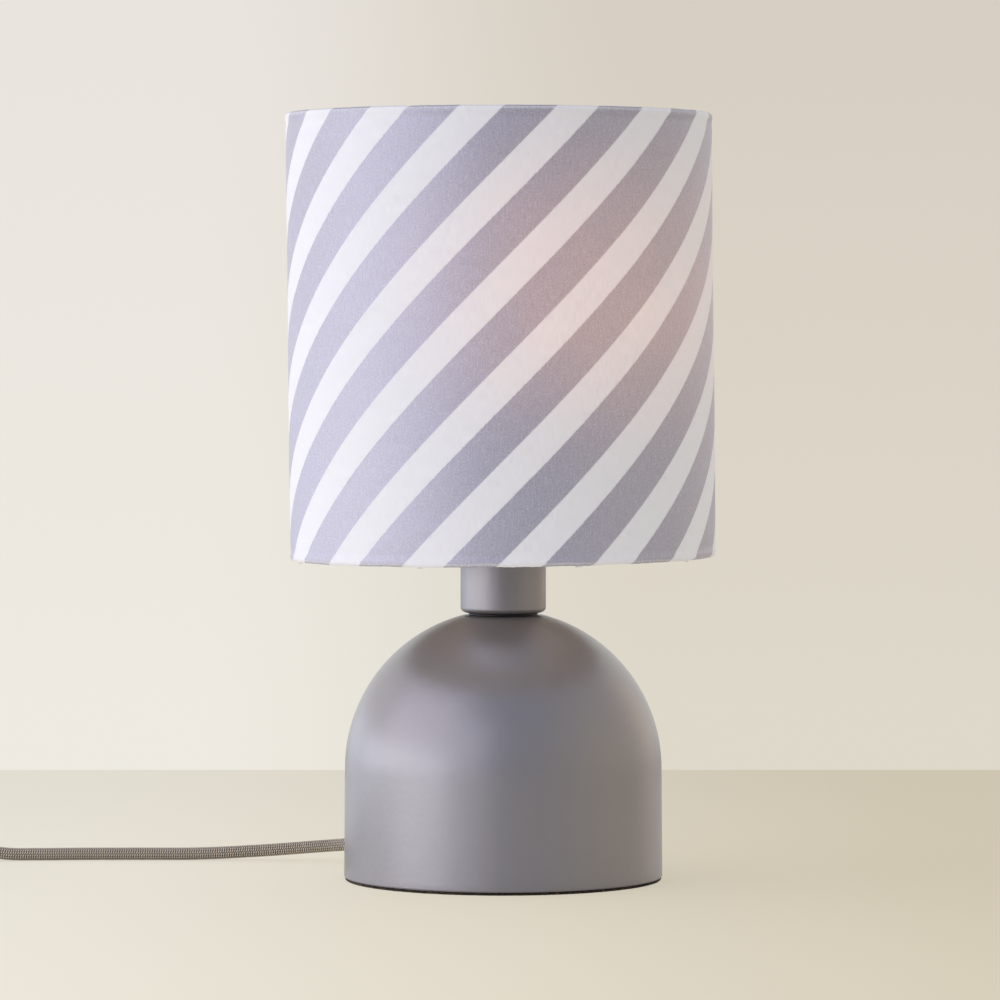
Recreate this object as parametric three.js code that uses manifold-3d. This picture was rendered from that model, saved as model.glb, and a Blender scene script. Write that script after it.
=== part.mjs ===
// A table lamp: a domed metal foot, a neck cup round the lamp holder, a lamp, a striped
// drum shade, and a flex with a rocker switch, a coil and a plug.
// Millimetres, Z up, the origin in the middle of the underside. The front faces -Y.

import * as THREE from 'three';
import { mergeVertices } from 'three/addons/utils/BufferGeometryUtils.js';
import Module from 'manifold-3d';

const wasm = await Module();
wasm.setup();

// Clearances
const seat = 0.3; // between two pieces that touch
const slip = 0.3; // round a pin, screw or tube in its hole
const threadSlip = 0.5; // between the lamp thread and its socket

// Facets
const largeSides = 48;
const mediumSides = 24;
const smallSides = 12;
const wireSides = 6;
const threadSides = 18;
const threadRows = 5; // rows of points in one pitch

// Foot
const feltThickness = 1.5;
const plateThickness = 2;
const baseHeight = 126; // table to the flat on top of the dome
const domeRadius = 75.5;
const domeFlatRadius = 19.2;
const skirtFlare = 0.4; // the skirt beyond the dome
const feltInset = 0.5; // inside the skirt
const rimRound = 0.8;
const shellWall = 1.5;
const weightHeight = 12;
const weightTabGap = 1.6;
const weightBevel = 1.5;
const weightSlotWidth = 12;
const weightSlotStart = 24; // from the axis
const weightBoltRadius = 3;
const weightBoltDepth = 7; // in the weight
const tabLength = 14;
const tabWidth = 12;
const tabHeight = 12;
const tabThickness = 2;
const tabAngles = [75, 195, 315];
const tabScrewInset = 8.5; // from the back of the tab
const plateScrewRadius = 2;
const plateScrewLength = 10;
const screwHeadSpread = 1.6; // head radius beyond its shank
const screwHeadSunk = 0.2;

// Cord entry
const cordRadius = 3;
const cordBore = cordRadius + slip;
const exitAngle = 135; // from +X, towards the back left
const exitHeight = 9.5;
const reliefBarrelRadius = 4.3;
const reliefFlangeRadius = 6;
const reliefFlangeThickness = 2;
const reliefLipRadius = 5.2;
const reliefLipThickness = 2;
const reliefBootLength = 17.8;
const reliefBootRadius = 5;
const reliefTipRadius = 3.9;
const cordStopLength = 6;
const cordStopWall = 1.5;

// Neck
const tubeRadius = 4.9;
const tubeBore = 3.7;
const tubeLength = 26;
const tubeAboveDome = 12;
const tubeHole = tubeRadius + slip;
const nutFlats = 14;
const lowerNutHeight = 4;
const upperNutHeight = 3.5;
const lockWasherRadius = 7.6;
const lockWasherThickness = 0.8;
const lockWasherTeeth = 8;
const domeWasherRadius = 17;
const domeWasherThickness = 1.2;
const neckWasherRadius = 16.5;
const neckWasherThickness = 0.6;
const cupRadius = 20.35;
const cupHeight = 60;
const cupWall = 1;
const cupRoundAcross = 3.4;
const cupRoundHigh = 2.6;

// Lamp holder
const holderClearance = 0.55; // inside the cup
const holderCapHeight = 29.5;
const holderFloor = 2;
const holderBevel = 3;
const spigotHeight = 6;
const spigotWall = 2;
const holderWall = 1.5;
const holderThreadRadius = 19.6;
const holderThreadLength = 20.5;
const holderTopRadius = 18.2;
const holderTopLength = 2;
const holderLip = 3.7;
const holderMouth = 14.6;
const coreHeight = 16.7;
const leadRadius = 1;
const leadOffset = 9; // terminals from the axis
const leadHoleRadius = 1.6;
const leadHoleDepth = 8;
const terminalRadius = 1.5;
const terminalHeadRadius = 2.6;
const terminalHeadLength = 2;
const terminalHeight = 4.7; // above the underside of the core
const contactWall = 0.7;
const contactHeight = 24.7;
const leafThickness = 0.5;
const leafWidth = 4;
const leafRise = 2.9;

// Lamp thread and lamp
const threadPitch = 3.629;
const threadMean = 12.5;
const threadDepth = 0.6;
const tipRadius = 4.6;
const tipHeight = 1.7;
const insulatorHeight = 1.7;
const lampThreadLength = 18;
const lampCollarRadius = 13.6;
const lampCollarLength = 4;
const lampCapBore = 11.2;
const lampHousingRadius = 24;
const lampHousingHeight = 34.4;
const lampHousingWall = 1.8;
const lampPlugLength = 11;
const boardThickness = 1.6;
const diffuserRadius = 30;
const diffuserWall = 1.2;

// Shade rings on the lamp holder
const lowerRingHeight = 4;
const lowerRingRadius = 26;
const upperRingHeight = 6;
const upperRingRadius = 27.5;
const ringRibs = 18;
const ringRibDepth = 0.8;
const fitterThickness = 1.5;
const fitterRadius = 30;
const fitterSlip = 0.6; // round the thread of the lamp holder

// Shade
const shadeRadius = 101.2;
const shadeHeight = 211.1;
const fitterDrop = 38.4; // fitter above the lower edge
const fabricThickness = 0.5;
const linerThickness = 0.6;
const hoopWire = 2.4;
const armRadius = 1.5;
const armAngles = [90, 210, 330];

// Switch in the flex
const switchLength = 56;
const switchWidth = 24;
const switchHeight = 17;
const switchAxis = 7; // height of the flex in it
const switchStart = -276; // X of the end towards the lamp
const switchLine = 87; // Y of its middle
const switchCorner = 6;
const switchWall = 1.8;
const switchTopBevel = 2;
const rockerLength = 18.6;
const rockerWidth = 9.4;
const rockerPivotDrop = 2.5; // below the top of the cover
const rockerBelow = 2.5;
const rockerMiddle = 3;
const rockerEnd = 4.8;
const rockerTilt = 10;
const rockerPinRadius = 1;
const rockerPinLength = 14;
const lugThickness = 2;
const lugDepth = 5;
const switchScrewRadius = 1.2;
const switchScrewHead = 2.3;
const switchScrewAt = [21, 6];
const switchBoss = 3;

// Coil of the spare flex
const coilCentreX = -321;
const coilCentreY = -5;
const coilOuter = 45;
const coilPitch = 6.6;
const coilTurns = 6;
const coilSteps = 24;
const coilSides = 6;
const coilLower = 4.3; // height of the lower layer
const tieThickness = 1;
const tieWidth = 12;
const tieInner = 24;
const tieOuter = 45.4;
const coilLine = coilCentreX - coilOuter; // X of the flex where it joins the coil

// Plug
const plugStart = -46; // Y where the boot begins
const plugAxis = 8;
const plugBootLength = 22;
const plugBootRadius = 5.5;
const plugBootTip = 4;
const plugLength = 26;
const plugWidth = 24;
const plugHeight = 16;
const plugCorner = 5;
const bladeLength = 17;
const bladeSunk = 6;
const bladeWidth = 6.35;
const bladeThickness = 1.5;
const bladeSpacing = 12.7;
const bladeHole = 1.5;

// Levels, from the table up
const plateBottom = feltThickness + seat;
const plateTop = plateBottom + plateThickness;
const onPlate = plateTop + seat;
const domeCentre = baseHeight - Math.sqrt(domeRadius ** 2 - domeFlatRadius ** 2);
const domeWasherTop = baseHeight - shellWall - seat;
const lockWasherTop = domeWasherTop - domeWasherThickness - seat;
const lowerNutTop = lockWasherTop - lockWasherThickness - seat;
const tubeTop = baseHeight + tubeAboveDome;
const tubeBottom = tubeTop - tubeLength;
const neckWasherBottom = baseHeight + seat;
const cupBottom = neckWasherBottom + neckWasherThickness + seat;
const cupTop = cupBottom + cupHeight;
const holderBottom = cupBottom + cupWall + seat;
const upperNutBottom = holderBottom + holderFloor + seat;
const holderCapTop = holderBottom + holderCapHeight;
const spigotTop = holderCapTop + spigotHeight;
const holderShellBottom = holderCapTop + seat;
const coreBottom = spigotTop + seat;
const coreTop = coreBottom + coreHeight;
const contactBottom = coreTop + seat;
const contactTop = contactBottom + contactHeight;
const holderThreadBottom = cupTop + seat;
const holderThreadTop = holderThreadBottom + holderThreadLength;
const holderTop = holderThreadTop + holderTopLength;
const lowerRingTop = holderThreadBottom + lowerRingHeight;
const fitterBottom = lowerRingTop + seat;
const fitterTop = fitterBottom + fitterThickness;
const upperRingBottom = fitterTop + seat;
const shadeBottom = fitterBottom - fitterDrop;
const shadeTop = shadeBottom + shadeHeight;
const leafTop = contactBottom + leafRise;
const lampBottom = leafTop + seat;
const insulatorBottom = lampBottom + tipHeight + seat;
const lampCapBottom = insulatorBottom + insulatorHeight + seat;
const lampThreadTop = lampCapBottom + lampThreadLength;
const lampCapTop = lampThreadTop + lampCollarLength + seat;
const housingBottom = lampCapTop + seat;
const housingTop = housingBottom + lampHousingHeight;
const innerCordTop = tubeTop + cordRadius;

// Radii that follow from their neighbours
const skirtRadius = domeRadius + skirtFlare;
const shellBottomBore = skirtRadius - shellWall;
const holderRadius = cupRadius - cupWall - holderClearance;
const holderBore = holderRadius - holderWall;
const spigotRadius = holderBore - slip;
const coreRadius = holderBore - slip;
const ringBore = holderThreadRadius + slip;
const fitterBore = holderThreadRadius + fitterSlip;
const fabricInner = shadeRadius - fabricThickness;
const linerOuter = fabricInner - seat;
const linerInner = linerOuter - linerThickness;
const hoopRadius = linerInner - seat - hoopWire / 2;
const lipOuter = hoopRadius - hoopWire / 2 - seat;
const lipInner = lipOuter - fabricThickness;

// Finishes
const satinPaint = { color: 0x8b8891, roughness: 0.38, metalness: 0.25 };
const blackFelt = { color: 0x191716, roughness: 0.97, metalness: 0 };
const zincSteel = { color: 0xb4b5b3, roughness: 0.35, metalness: 0.9 };
const castIron = { color: 0x3d3b3a, roughness: 0.75, metalness: 0.6 };
const brass = { color: 0xb9975b, roughness: 0.3, metalness: 0.9 };
const blackPlastic = { color: 0x1c1c1d, roughness: 0.45, metalness: 0 };
const greyBraid = { color: 0x96918a, roughness: 0.9, metalness: 0 };
const brownInsulation = { color: 0x6b4630, roughness: 0.5, metalness: 0 };
const blueInsulation = { color: 0x3f69a6, roughness: 0.5, metalness: 0 };
const whiteCeramic = { color: 0xe9e6df, roughness: 0.35, metalness: 0 };
const whiteWire = { color: 0xe8e6e1, roughness: 0.4, metalness: 0.1 };
const whitePlastic = { color: 0xeceae5, roughness: 0.4, metalness: 0 };
const opalDiffuser = { color: 0xfff1dd, roughness: 0.4, metalness: 0 };
const boardGreen = { color: 0xe4e6e2, roughness: 0.5, metalness: 0 };
const stripedFabric = { color: 0xc9c1c2, roughness: 0.9, metalness: 0 };
const linerFilm = { color: 0xf4efe6, roughness: 0.6, metalness: 0 };
const greyPlastic = { color: 0x55524f, roughness: 0.5, metalness: 0 };
const blackStrap = { color: 0x232223, roughness: 0.9, metalness: 0 };

// Weld a geometry's points, drop its flattened triangles and turn its faces out.
function weld(geometry) {
	geometry.deleteAttribute('normal');
	geometry.deleteAttribute('uv');
	const welded = mergeVertices(geometry, 1e-4);
	const corners = welded.index.array;
	const kept = [];
	for (let i = 0; i < corners.length; i += 3) {
		const [a, b, c] = corners.slice(i, i + 3);
		if (a !== b && b !== c && c !== a) kept.push(a, b, c);
	}
	if (volumeOf(welded.attributes.position, kept) < 0) kept.reverse();
	welded.setIndex(kept);
	return welded;
}

// Six times the volume inside a list of triangles, negative where they face inward.
function volumeOf(position, corners) {
	const [a, b, c] = [new THREE.Vector3(), new THREE.Vector3(), new THREE.Vector3()];
	let total = 0;
	for (let i = 0; i < corners.length; i += 3) {
		a.fromBufferAttribute(position, corners[i]);
		b.fromBufferAttribute(position, corners[i + 1]);
		c.fromBufferAttribute(position, corners[i + 2]);
		total += a.dot(b.cross(c));
	}
	return total;
}

// Points on an arc in a profile, as radius and height.
function arc(centre, across, high, from, to, steps) {
	const points = [];
	for (let i = 0; i <= steps; i++) {
		const angle = THREE.MathUtils.lerp(from, to, i / steps);
		points.push([centre[0] + across * Math.cos(angle), centre[1] + high * Math.sin(angle)]);
	}
	return points;
}

// Turn a profile that starts and ends on the axis, upright.
function turned(profile, sides) {
	const points = profile.map(([radius, height]) => new THREE.Vector2(radius, height));
	const geometry = new THREE.LatheGeometry(points, sides);
	geometry.rotateX(Math.PI / 2);
	return weld(geometry);
}

// Turn a profile that closes on itself, upright.
function turnedRing(profile, sides) {
	return turned([...profile, profile[0]], sides);
}

// A plain upright rod and a plain upright ring.
function rod(radius, bottom, top, sides) {
	return turned([[0, bottom], [radius, bottom], [radius, top], [0, top]], sides);
}

function collar(outer, bore, bottom, top, sides) {
	return turnedRing([[outer, bottom], [outer, top], [bore, top], [bore, bottom]], sides);
}

// Lay an upright piece along +X.
function alongX(geometry) {
	return geometry.rotateY(Math.PI / 2);
}

// Raise an outline of X and Y points from one level to another.
function raised(outline, bottom, top, holes = []) {
	const shape = new THREE.Shape(outline);
	shape.holes = holes.map((hole) => new THREE.Path(hole));
	const geometry = new THREE.ExtrudeGeometry(shape, { depth: top - bottom, bevelEnabled: false });
	geometry.translate(0, 0, bottom);
	return weld(geometry);
}

// Give an outline of X and Z points a width along Y, half of it on each side.
function widened(outline, width, holes = []) {
	const geometry = raised(outline, -width / 2, width / 2, holes);
	return geometry.rotateX(Math.PI / 2);
}

// A block between two corners.
function block(low, high) {
	const size = high.map((value, axis) => value - low[axis]);
	const geometry = new THREE.BoxGeometry(...size);
	geometry.translate(...low.map((value, axis) => value + size[axis] / 2));
	return weld(geometry);
}

// Points round a circle, or between two circles in turn for teeth and ribs.
function circle(radius, sides, valley = radius) {
	const points = [];
	for (let i = 0; i < sides; i++) {
		const angle = (2 * Math.PI * i) / sides;
		const reach = i % 4 < 2 ? radius : valley;
		points.push(new THREE.Vector2(reach * Math.cos(angle), reach * Math.sin(angle)));
	}
	return points;
}

// A rectangle with round corners, about the origin.
function roundedRectangle(length, width, corner) {
	const points = [];
	const steps = 3;
	for (let quarter = 0; quarter < 4; quarter++) {
		const acrossSign = quarter === 0 || quarter === 3 ? 1 : -1;
		const alongSign = quarter < 2 ? 1 : -1;
		for (let i = 0; i <= steps; i++) {
			const angle = (Math.PI / 2) * (quarter + i / steps);
			const x = acrossSign * (length / 2 - corner) + corner * Math.cos(angle);
			const y = alongSign * (width / 2 - corner) + corner * Math.sin(angle);
			points.push(new THREE.Vector2(x, y));
		}
	}
	return points;
}

// A round tube along a curve.
function swept(curve, radius, sides, steps) {
	const shape = new THREE.Shape(circle(radius, sides));
	return weld(new THREE.ExtrudeGeometry(shape, { steps, extrudePath: curve, bevelEnabled: false }));
}

function curveThrough(points) {
	const places = points.map((point) => new THREE.Vector3(...point));
	return new THREE.CatmullRomCurve3(places, false, 'centripetal');
}

// Skin equal rings of points, capped at both ends or joined into a loop.
function skinned(rings, capped) {
	const sides = rings[0].length;
	const joins = capped ? rings.length - 1 : rings.length;
	const corners = [];
	for (let ring = 0; ring < joins; ring++) {
		const above = (ring + 1) % rings.length;
		for (let side = 0; side < sides; side++) {
			const right = (side + 1) % sides;
			const [a, b] = [ring * sides + side, ring * sides + right];
			const [c, d] = [above * sides + side, above * sides + right];
			corners.push(a, b, d, a, d, c);
		}
	}
	const last = (rings.length - 1) * sides;
	for (let side = 1; capped && side < sides - 1; side++) {
		corners.push(0, side + 1, side);
		corners.push(last, last + side, last + side + 1);
	}
	const geometry = new THREE.BufferGeometry();
	const numbers = rings.flat().flatMap((point) => [point.x, point.y, point.z]);
	geometry.setAttribute('position', new THREE.Float32BufferAttribute(numbers, 3));
	geometry.setIndex(corners);
	return weld(geometry);
}

// Join and cut welded geometries.
function solid(geometry) {
	return new wasm.Manifold(new wasm.Mesh({
		numProp: 3,
		vertProperties: Float32Array.from(geometry.attributes.position.array),
		triVerts: Uint32Array.from(geometry.index.array),
	}));
}

function surface(body) {
	const mesh = body.getMesh();
	const geometry = new THREE.BufferGeometry();
	geometry.setAttribute('position', new THREE.BufferAttribute(mesh.vertProperties, 3));
	geometry.setIndex(new THREE.BufferAttribute(mesh.triVerts, 1));
	return geometry;
}

function cut(blank, ...tools) {
	return surface(tools.reduce((body, tool) => body.subtract(solid(tool)), solid(blank)));
}

function joined(...pieces) {
	return surface(pieces.slice(1).reduce((body, more) => body.add(solid(more)), solid(pieces[0])));
}

// Groups of the lamp, each turned or moved as one
const lamp = new THREE.Group();

function group(parent, angle = 0) {
	const child = new THREE.Group();
	child.rotation.z = THREE.MathUtils.degToRad(angle);
	parent.add(child);
	return child;
}

function piece(parent, name, geometry, finish) {
	const mesh = new THREE.Mesh(geometry, new THREE.MeshStandardMaterial(finish));
	mesh.name = name;
	parent.add(mesh);
	return mesh;
}

// Outer radius of the skirt, which leans in a little up to the dome.
function skirtAt(height) {
	const low = plateBottom + rimRound;
	return THREE.MathUtils.mapLinear(height, low, domeCentre, skirtRadius, domeRadius);
}

// Nearest that a flat of the faceted bore of the shell comes to the axis from low to high.
function shellBoreOver(low, high) {
	const wall = Math.min(skirtAt(low), skirtAt(high)) - shellWall;
	return wall * Math.cos(Math.PI / largeSides);
}

// The depth in a round bore at which a flat piece of this half width still fits.
function chord(radius, halfWidth) {
	return Math.sqrt(radius ** 2 - halfWidth ** 2);
}

// A countersunk screw from below, and the hole that clears it.
function countersunk(radius, bottom, length) {
	const head = radius + screwHeadSpread;
	return turned([
		[0, bottom], [head, bottom], [radius, bottom + screwHeadSpread],
		[radius, bottom + length], [0, bottom + length],
	], smallSides);
}

function countersink(radius, bottom, top) {
	const hole = radius + slip;
	const mouth = radius + screwHeadSpread + slip * Math.SQRT2 + screwHeadSunk;
	const below = 1;
	return turned([
		[0, bottom - below], [mouth + below, bottom - below], [hole, bottom + mouth - hole],
		[hole, top], [0, top],
	], smallSides);
}

// Foot: felt, plate, weight, shell and what fastens them
const tabHeel = chord(shellBoreOver(onPlate, onPlate + tabHeight) - seat, tabWidth / 2);
const tabScrewRadius = tabHeel - tabScrewInset;
const weightRadius = tabHeel - tabLength - weightTabGap;
const screwBottom = plateBottom + screwHeadSunk;
const pastPlate = plateTop + 1;

piece(lamp, 'felt_pad', rod(skirtRadius - feltInset, 0, feltThickness, largeSides), blackFelt);

function basePlate() {
	const disc = rod(shellBottomBore - seat, plateBottom, plateTop, largeSides);
	const sinks = tabAngles.map((angle) => {
		const sink = countersink(plateScrewRadius, plateBottom, pastPlate);
		sink.translate(tabScrewRadius, 0, 0);
		return sink.rotateZ(THREE.MathUtils.degToRad(angle));
	});
	return cut(disc, ...sinks, countersink(weightBoltRadius, plateBottom, pastPlate));
}

piece(lamp, 'base_plate', basePlate(), zincSteel);

function shellTab() {
	const inner = tabHeel - tabLength;
	const upright = tabHeel - tabThickness;
	const outline = [
		[inner, onPlate], [tabHeel, onPlate], [tabHeel, onPlate + tabHeight],
		[upright, onPlate + tabHeight], [upright, onPlate + tabThickness],
		[inner, onPlate + tabThickness],
	].map((point) => new THREE.Vector2(...point));
	const hole = rod(plateScrewRadius + slip, plateTop, onPlate + tabHeight, smallSides);
	return cut(widened(outline, tabWidth), hole.translate(tabScrewRadius, 0, 0));
}

tabAngles.forEach((angle, i) => {
	const side = group(lamp, angle);
	piece(side, `shell_tab_${i + 1}`, shellTab(), zincSteel);
	const screw = countersunk(plateScrewRadius, screwBottom, plateScrewLength);
	piece(side, `plate_screw_${i + 1}`, screw, zincSteel).position.x = tabScrewRadius;
});

const exitSide = group(lamp, exitAngle);

function ballastWeight() {
	const top = onPlate + weightHeight;
	const disc = turned([
		[0, onPlate], [weightRadius, onPlate], [weightRadius, top - weightBevel],
		[weightRadius - weightBevel, top], [0, top],
	], largeSides);
	const half = weightSlotWidth / 2;
	const slot = block([weightSlotStart, -half, plateTop], [skirtRadius, half, top + 1]);
	const holeTop = onPlate + weightBoltDepth + seat;
	const hole = rod(weightBoltRadius + slip, plateTop, holeTop, smallSides);
	return cut(disc, slot, hole);
}

piece(exitSide, 'ballast_weight', ballastWeight(), castIron);
const weightBoltLength = onPlate + weightBoltDepth - screwBottom;
const weightBolt = countersunk(weightBoltRadius, screwBottom, weightBoltLength);
piece(lamp, 'weight_bolt', weightBolt, zincSteel);

function baseShell() {
	const rim = plateBottom + rimRound;
	const centre = [0, domeCentre];
	const inner = domeRadius - shellWall;
	const innerFlat = baseHeight - shellWall;
	const outerEnd = Math.asin((baseHeight - domeCentre) / domeRadius);
	const innerEnd = Math.asin((innerFlat - domeCentre) / inner);
	const shell = turnedRing([
		[skirtRadius - rimRound, plateBottom], [skirtRadius, rim],
		...arc(centre, domeRadius, domeRadius, 0, outerEnd, 11),
		[tubeHole, baseHeight], [tubeHole, innerFlat],
		...arc(centre, inner, inner, innerEnd, 0, 6),
		[shellBottomBore, rim], [shellBottomBore, plateBottom],
	], largeSides);
	const hole = rod(reliefBarrelRadius + slip, domeFlatRadius, 2 * skirtRadius, smallSides);
	alongX(hole).translate(0, 0, exitHeight);
	return cut(shell, hole.rotateZ(THREE.MathUtils.degToRad(exitAngle)));
}

piece(lamp, 'base_shell', baseShell(), satinPaint);

// Cord entry, along +X of its group
const [entryLow, entryHigh] = [exitHeight - reliefLipRadius, exitHeight + reliefLipRadius];
const flangeBack = Math.max(skirtAt(entryLow), skirtAt(entryHigh)) + seat;
const bootBack = flangeBack + reliefFlangeThickness;
const reliefTip = bootBack + reliefBootLength;
const lipFront = chord(shellBoreOver(entryLow, entryHigh), reliefLipRadius) - seat;
const lipBack = lipFront - reliefLipThickness;
const entry = group(exitSide);
entry.position.z = exitHeight;

const strainRelief = turnedRing([
	[cordBore, lipBack], [reliefLipRadius, lipBack], [reliefLipRadius, lipFront],
	[reliefBarrelRadius, lipFront], [reliefBarrelRadius, flangeBack],
	[reliefFlangeRadius, flangeBack], [reliefFlangeRadius, bootBack],
	[reliefBootRadius, bootBack], [reliefTipRadius, reliefTip], [cordBore, reliefTip],
], smallSides);
piece(entry, 'strain_relief', alongX(strainRelief), blackPlastic);

const stopFront = lipBack - seat;
const cordStop = collar(cordBore + cordStopWall, cordBore, stopFront - cordStopLength, stopFront, smallSides);
piece(entry, 'cord_stop', alongX(cordStop), zincSteel);

// The flex inside: level through the relief, over the slot of the weight, up the tube
function innerCord() {
	const bend = stopFront - cordStopLength - 1;
	const path = new THREE.CurvePath();
	const corner = new THREE.Vector3(bend, 0, exitHeight);
	const rise = new THREE.Vector3(0, 0, tubeBottom - 4);
	path.add(new THREE.LineCurve3(new THREE.Vector3(reliefTip, 0, exitHeight), corner));
	const slack = new THREE.Vector3(bend / 2, 0, exitHeight);
	const lift = new THREE.Vector3(0, 0, tubeBottom / 3);
	path.add(new THREE.CubicBezierCurve3(corner, slack, lift, rise));
	path.add(new THREE.LineCurve3(rise, new THREE.Vector3(0, 0, innerCordTop)));
	return swept(path, cordRadius, 10, 18);
}

piece(exitSide, 'inner_cord', innerCord(), greyBraid);

// Neck: tube, nuts, washers and cup
function nut(bottom, height) {
	const corner = nutFlats / Math.sqrt(3);
	return raised(circle(corner, 6), bottom, bottom + height, [circle(tubeHole, smallSides)]);
}

const threadedTube = collar(tubeRadius, tubeBore, tubeBottom, tubeTop, smallSides);
piece(lamp, 'threaded_tube', threadedTube, zincSteel);
piece(lamp, 'tube_nut_lower', nut(lowerNutTop - lowerNutHeight, lowerNutHeight), brass);
piece(lamp, 'tube_nut_upper', nut(upperNutBottom, upperNutHeight), brass);

const teeth = circle(lockWasherRadius, lockWasherTeeth * 4, tubeRadius + 1.6);
const lockWasherBottom = lockWasherTop - lockWasherThickness;
const lockWasher = raised(teeth, lockWasherBottom, lockWasherTop, [circle(tubeHole, smallSides)]);
piece(lamp, 'lock_washer', lockWasher, zincSteel);

const domeWasherBottom = domeWasherTop - domeWasherThickness;
const domeWasher = collar(domeWasherRadius, tubeHole, domeWasherBottom, domeWasherTop, mediumSides);
piece(lamp, 'dome_washer', domeWasher, zincSteel);

const neckWasherTop = neckWasherBottom + neckWasherThickness;
const neckWasher = collar(neckWasherRadius, tubeHole, neckWasherBottom, neckWasherTop, mediumSides);
piece(lamp, 'neck_washer', neckWasher, blackPlastic);

function socketCup() {
	const bore = cupRadius - cupWall;
	const flat = cupRadius - cupRoundAcross;
	const middle = cupBottom + cupRoundHigh;
	const high = cupRoundHigh - cupWall;
	return turnedRing([
		[tubeHole, cupBottom],
		...arc([flat, middle], cupRoundAcross, cupRoundHigh, -Math.PI / 2, 0, 4),
		[cupRadius, cupTop], [bore, cupTop],
		...arc([flat, middle], cupRoundAcross - cupWall, high, 0, -Math.PI / 2, 2),
		[tubeHole, cupBottom + cupWall],
	], mediumSides);
}

piece(lamp, 'socket_cup', socketCup(), satinPaint);

// Lamp holder
const holderCap = turnedRing([
	[tubeHole, holderBottom], [holderRadius - holderBevel, holderBottom],
	[holderRadius, holderBottom + holderBevel], [holderRadius, holderCapTop],
	[spigotRadius, holderCapTop], [spigotRadius, spigotTop], [spigotRadius - spigotWall, spigotTop],
	[spigotRadius - spigotWall, holderBottom + holderFloor], [tubeHole, holderBottom + holderFloor],
], mediumSides);
piece(lamp, 'lampholder_cap', holderCap, blackPlastic);

const holderShell = turnedRing([
	[holderBore, holderShellBottom], [holderRadius, holderShellBottom],
	[holderRadius, holderThreadBottom], [holderThreadRadius, holderThreadBottom],
	[holderThreadRadius, holderThreadTop], [holderTopRadius, holderThreadTop],
	[holderTopRadius, holderTop], [holderMouth, holderTop], [holderMouth, holderTop - holderLip],
	[holderBore, holderTop - holderLip],
], mediumSides);
piece(lamp, 'lampholder_shell', holderShell, blackPlastic);

const terminalTip = leadOffset + leadRadius + seat;
const terminalHeadEnd = coreRadius - seat;
const terminalHeadBack = terminalHeadEnd - terminalHeadLength;

function lampholderCore() {
	const tools = [];
	for (const side of [-1, 1]) {
		const leadHole = rod(leadHoleRadius, coreBottom - 1, coreBottom + leadHoleDepth, smallSides);
		tools.push(leadHole.translate(side * leadOffset, 0, 0));
		const screwHole = turned([
			[0, leadOffset], [terminalRadius + slip, leadOffset],
			[terminalRadius + slip, terminalHeadBack - seat],
			[terminalHeadRadius + slip, terminalHeadBack - seat],
			[terminalHeadRadius + slip, coreRadius + 1], [0, coreRadius + 1],
		], smallSides);
		alongX(screwHole).translate(0, 0, coreBottom + terminalHeight);
		tools.push(side > 0 ? screwHole : screwHole.rotateZ(Math.PI));
	}
	return cut(rod(coreRadius, coreBottom, coreTop, mediumSides), ...tools);
}

piece(lamp, 'lampholder_core', lampholderCore(), whiteCeramic);

function lead() {
	const end = coreBottom + leadHoleDepth - seat;
	const start = innerCordTop + seat;
	const spread = leadRadius + seat;
	return swept(curveThrough([
		[spread, 0, start], [spread, 0, start + 4], [leadOffset * 0.45, 0, start + 9],
		[leadOffset * 0.9, 0, coreBottom - 8], [leadOffset, 0, coreBottom - 3],
		[leadOffset, 0, coreBottom + 2], [leadOffset, 0, end],
	]), leadRadius, wireSides, 10);
}

[['lead_live', brownInsulation], ['lead_neutral', blueInsulation]].forEach(([name, finish], i) => {
	const side = group(lamp, 180 * i);
	piece(side, name, lead(), finish);
	const screw = turned([
		[0, terminalTip], [terminalRadius, terminalTip], [terminalRadius, terminalHeadBack],
		[terminalHeadRadius, terminalHeadBack], [terminalHeadRadius, terminalHeadEnd],
		[0, terminalHeadEnd],
	], smallSides);
	piece(side, `terminal_screw_${i + 1}`, alongX(screw), brass).position.z = coreBottom + terminalHeight;
});

// The lamp thread: its radius swells once in a turn and once in a pitch.
function threadRadius(angle, height) {
	return threadMean + threadDepth * Math.cos((2 * Math.PI * height) / threadPitch - angle);
}

function levelRing(height, radiusAt) {
	const ring = [];
	for (let side = 0; side < threadSides; side++) {
		const angle = (2 * Math.PI * side) / threadSides;
		const radius = radiusAt(angle, height);
		ring.push(new THREE.Vector3(radius * Math.cos(angle), radius * Math.sin(angle), height));
	}
	return ring;
}

function threadRings(bottom, top, grown) {
	const rows = Math.round((threadRows * (top - bottom)) / threadPitch);
	const rings = [];
	for (let row = 0; row <= rows; row++) {
		const height = THREE.MathUtils.lerp(bottom, top, row / rows);
		rings.push(levelRing(height, (angle, z) => threadRadius(angle, z) + grown));
	}
	return rings;
}

function screwContact() {
	const crest = threadMean + threadDepth + threadSlip;
	const outer = crest + contactWall;
	return skinned([
		levelRing(contactTop, () => outer),
		levelRing(contactBottom, () => outer),
		levelRing(contactBottom, () => crest),
		levelRing(lampCapBottom - threadPitch / 2, () => crest),
		...threadRings(lampCapBottom - seat, contactTop, threadSlip),
	], false);
}

piece(lamp, 'screw_contact_shell', screwContact(), brass);

// A leaf that stands on the core and lifts its tongue under the tip of the lamp.
function centreContact() {
	const foot = contactBottom;
	const outline = [
		[-8, foot], [-4, foot], [-2, leafTop - leafThickness], [4, leafTop - leafThickness],
		[4, leafTop], [-2.4, leafTop], [-4.4, foot + leafThickness], [-8, foot + leafThickness],
	].map((point) => new THREE.Vector2(...point));
	return widened(outline, leafWidth);
}

piece(lamp, 'centre_contact', centreContact(), brass);

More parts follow.
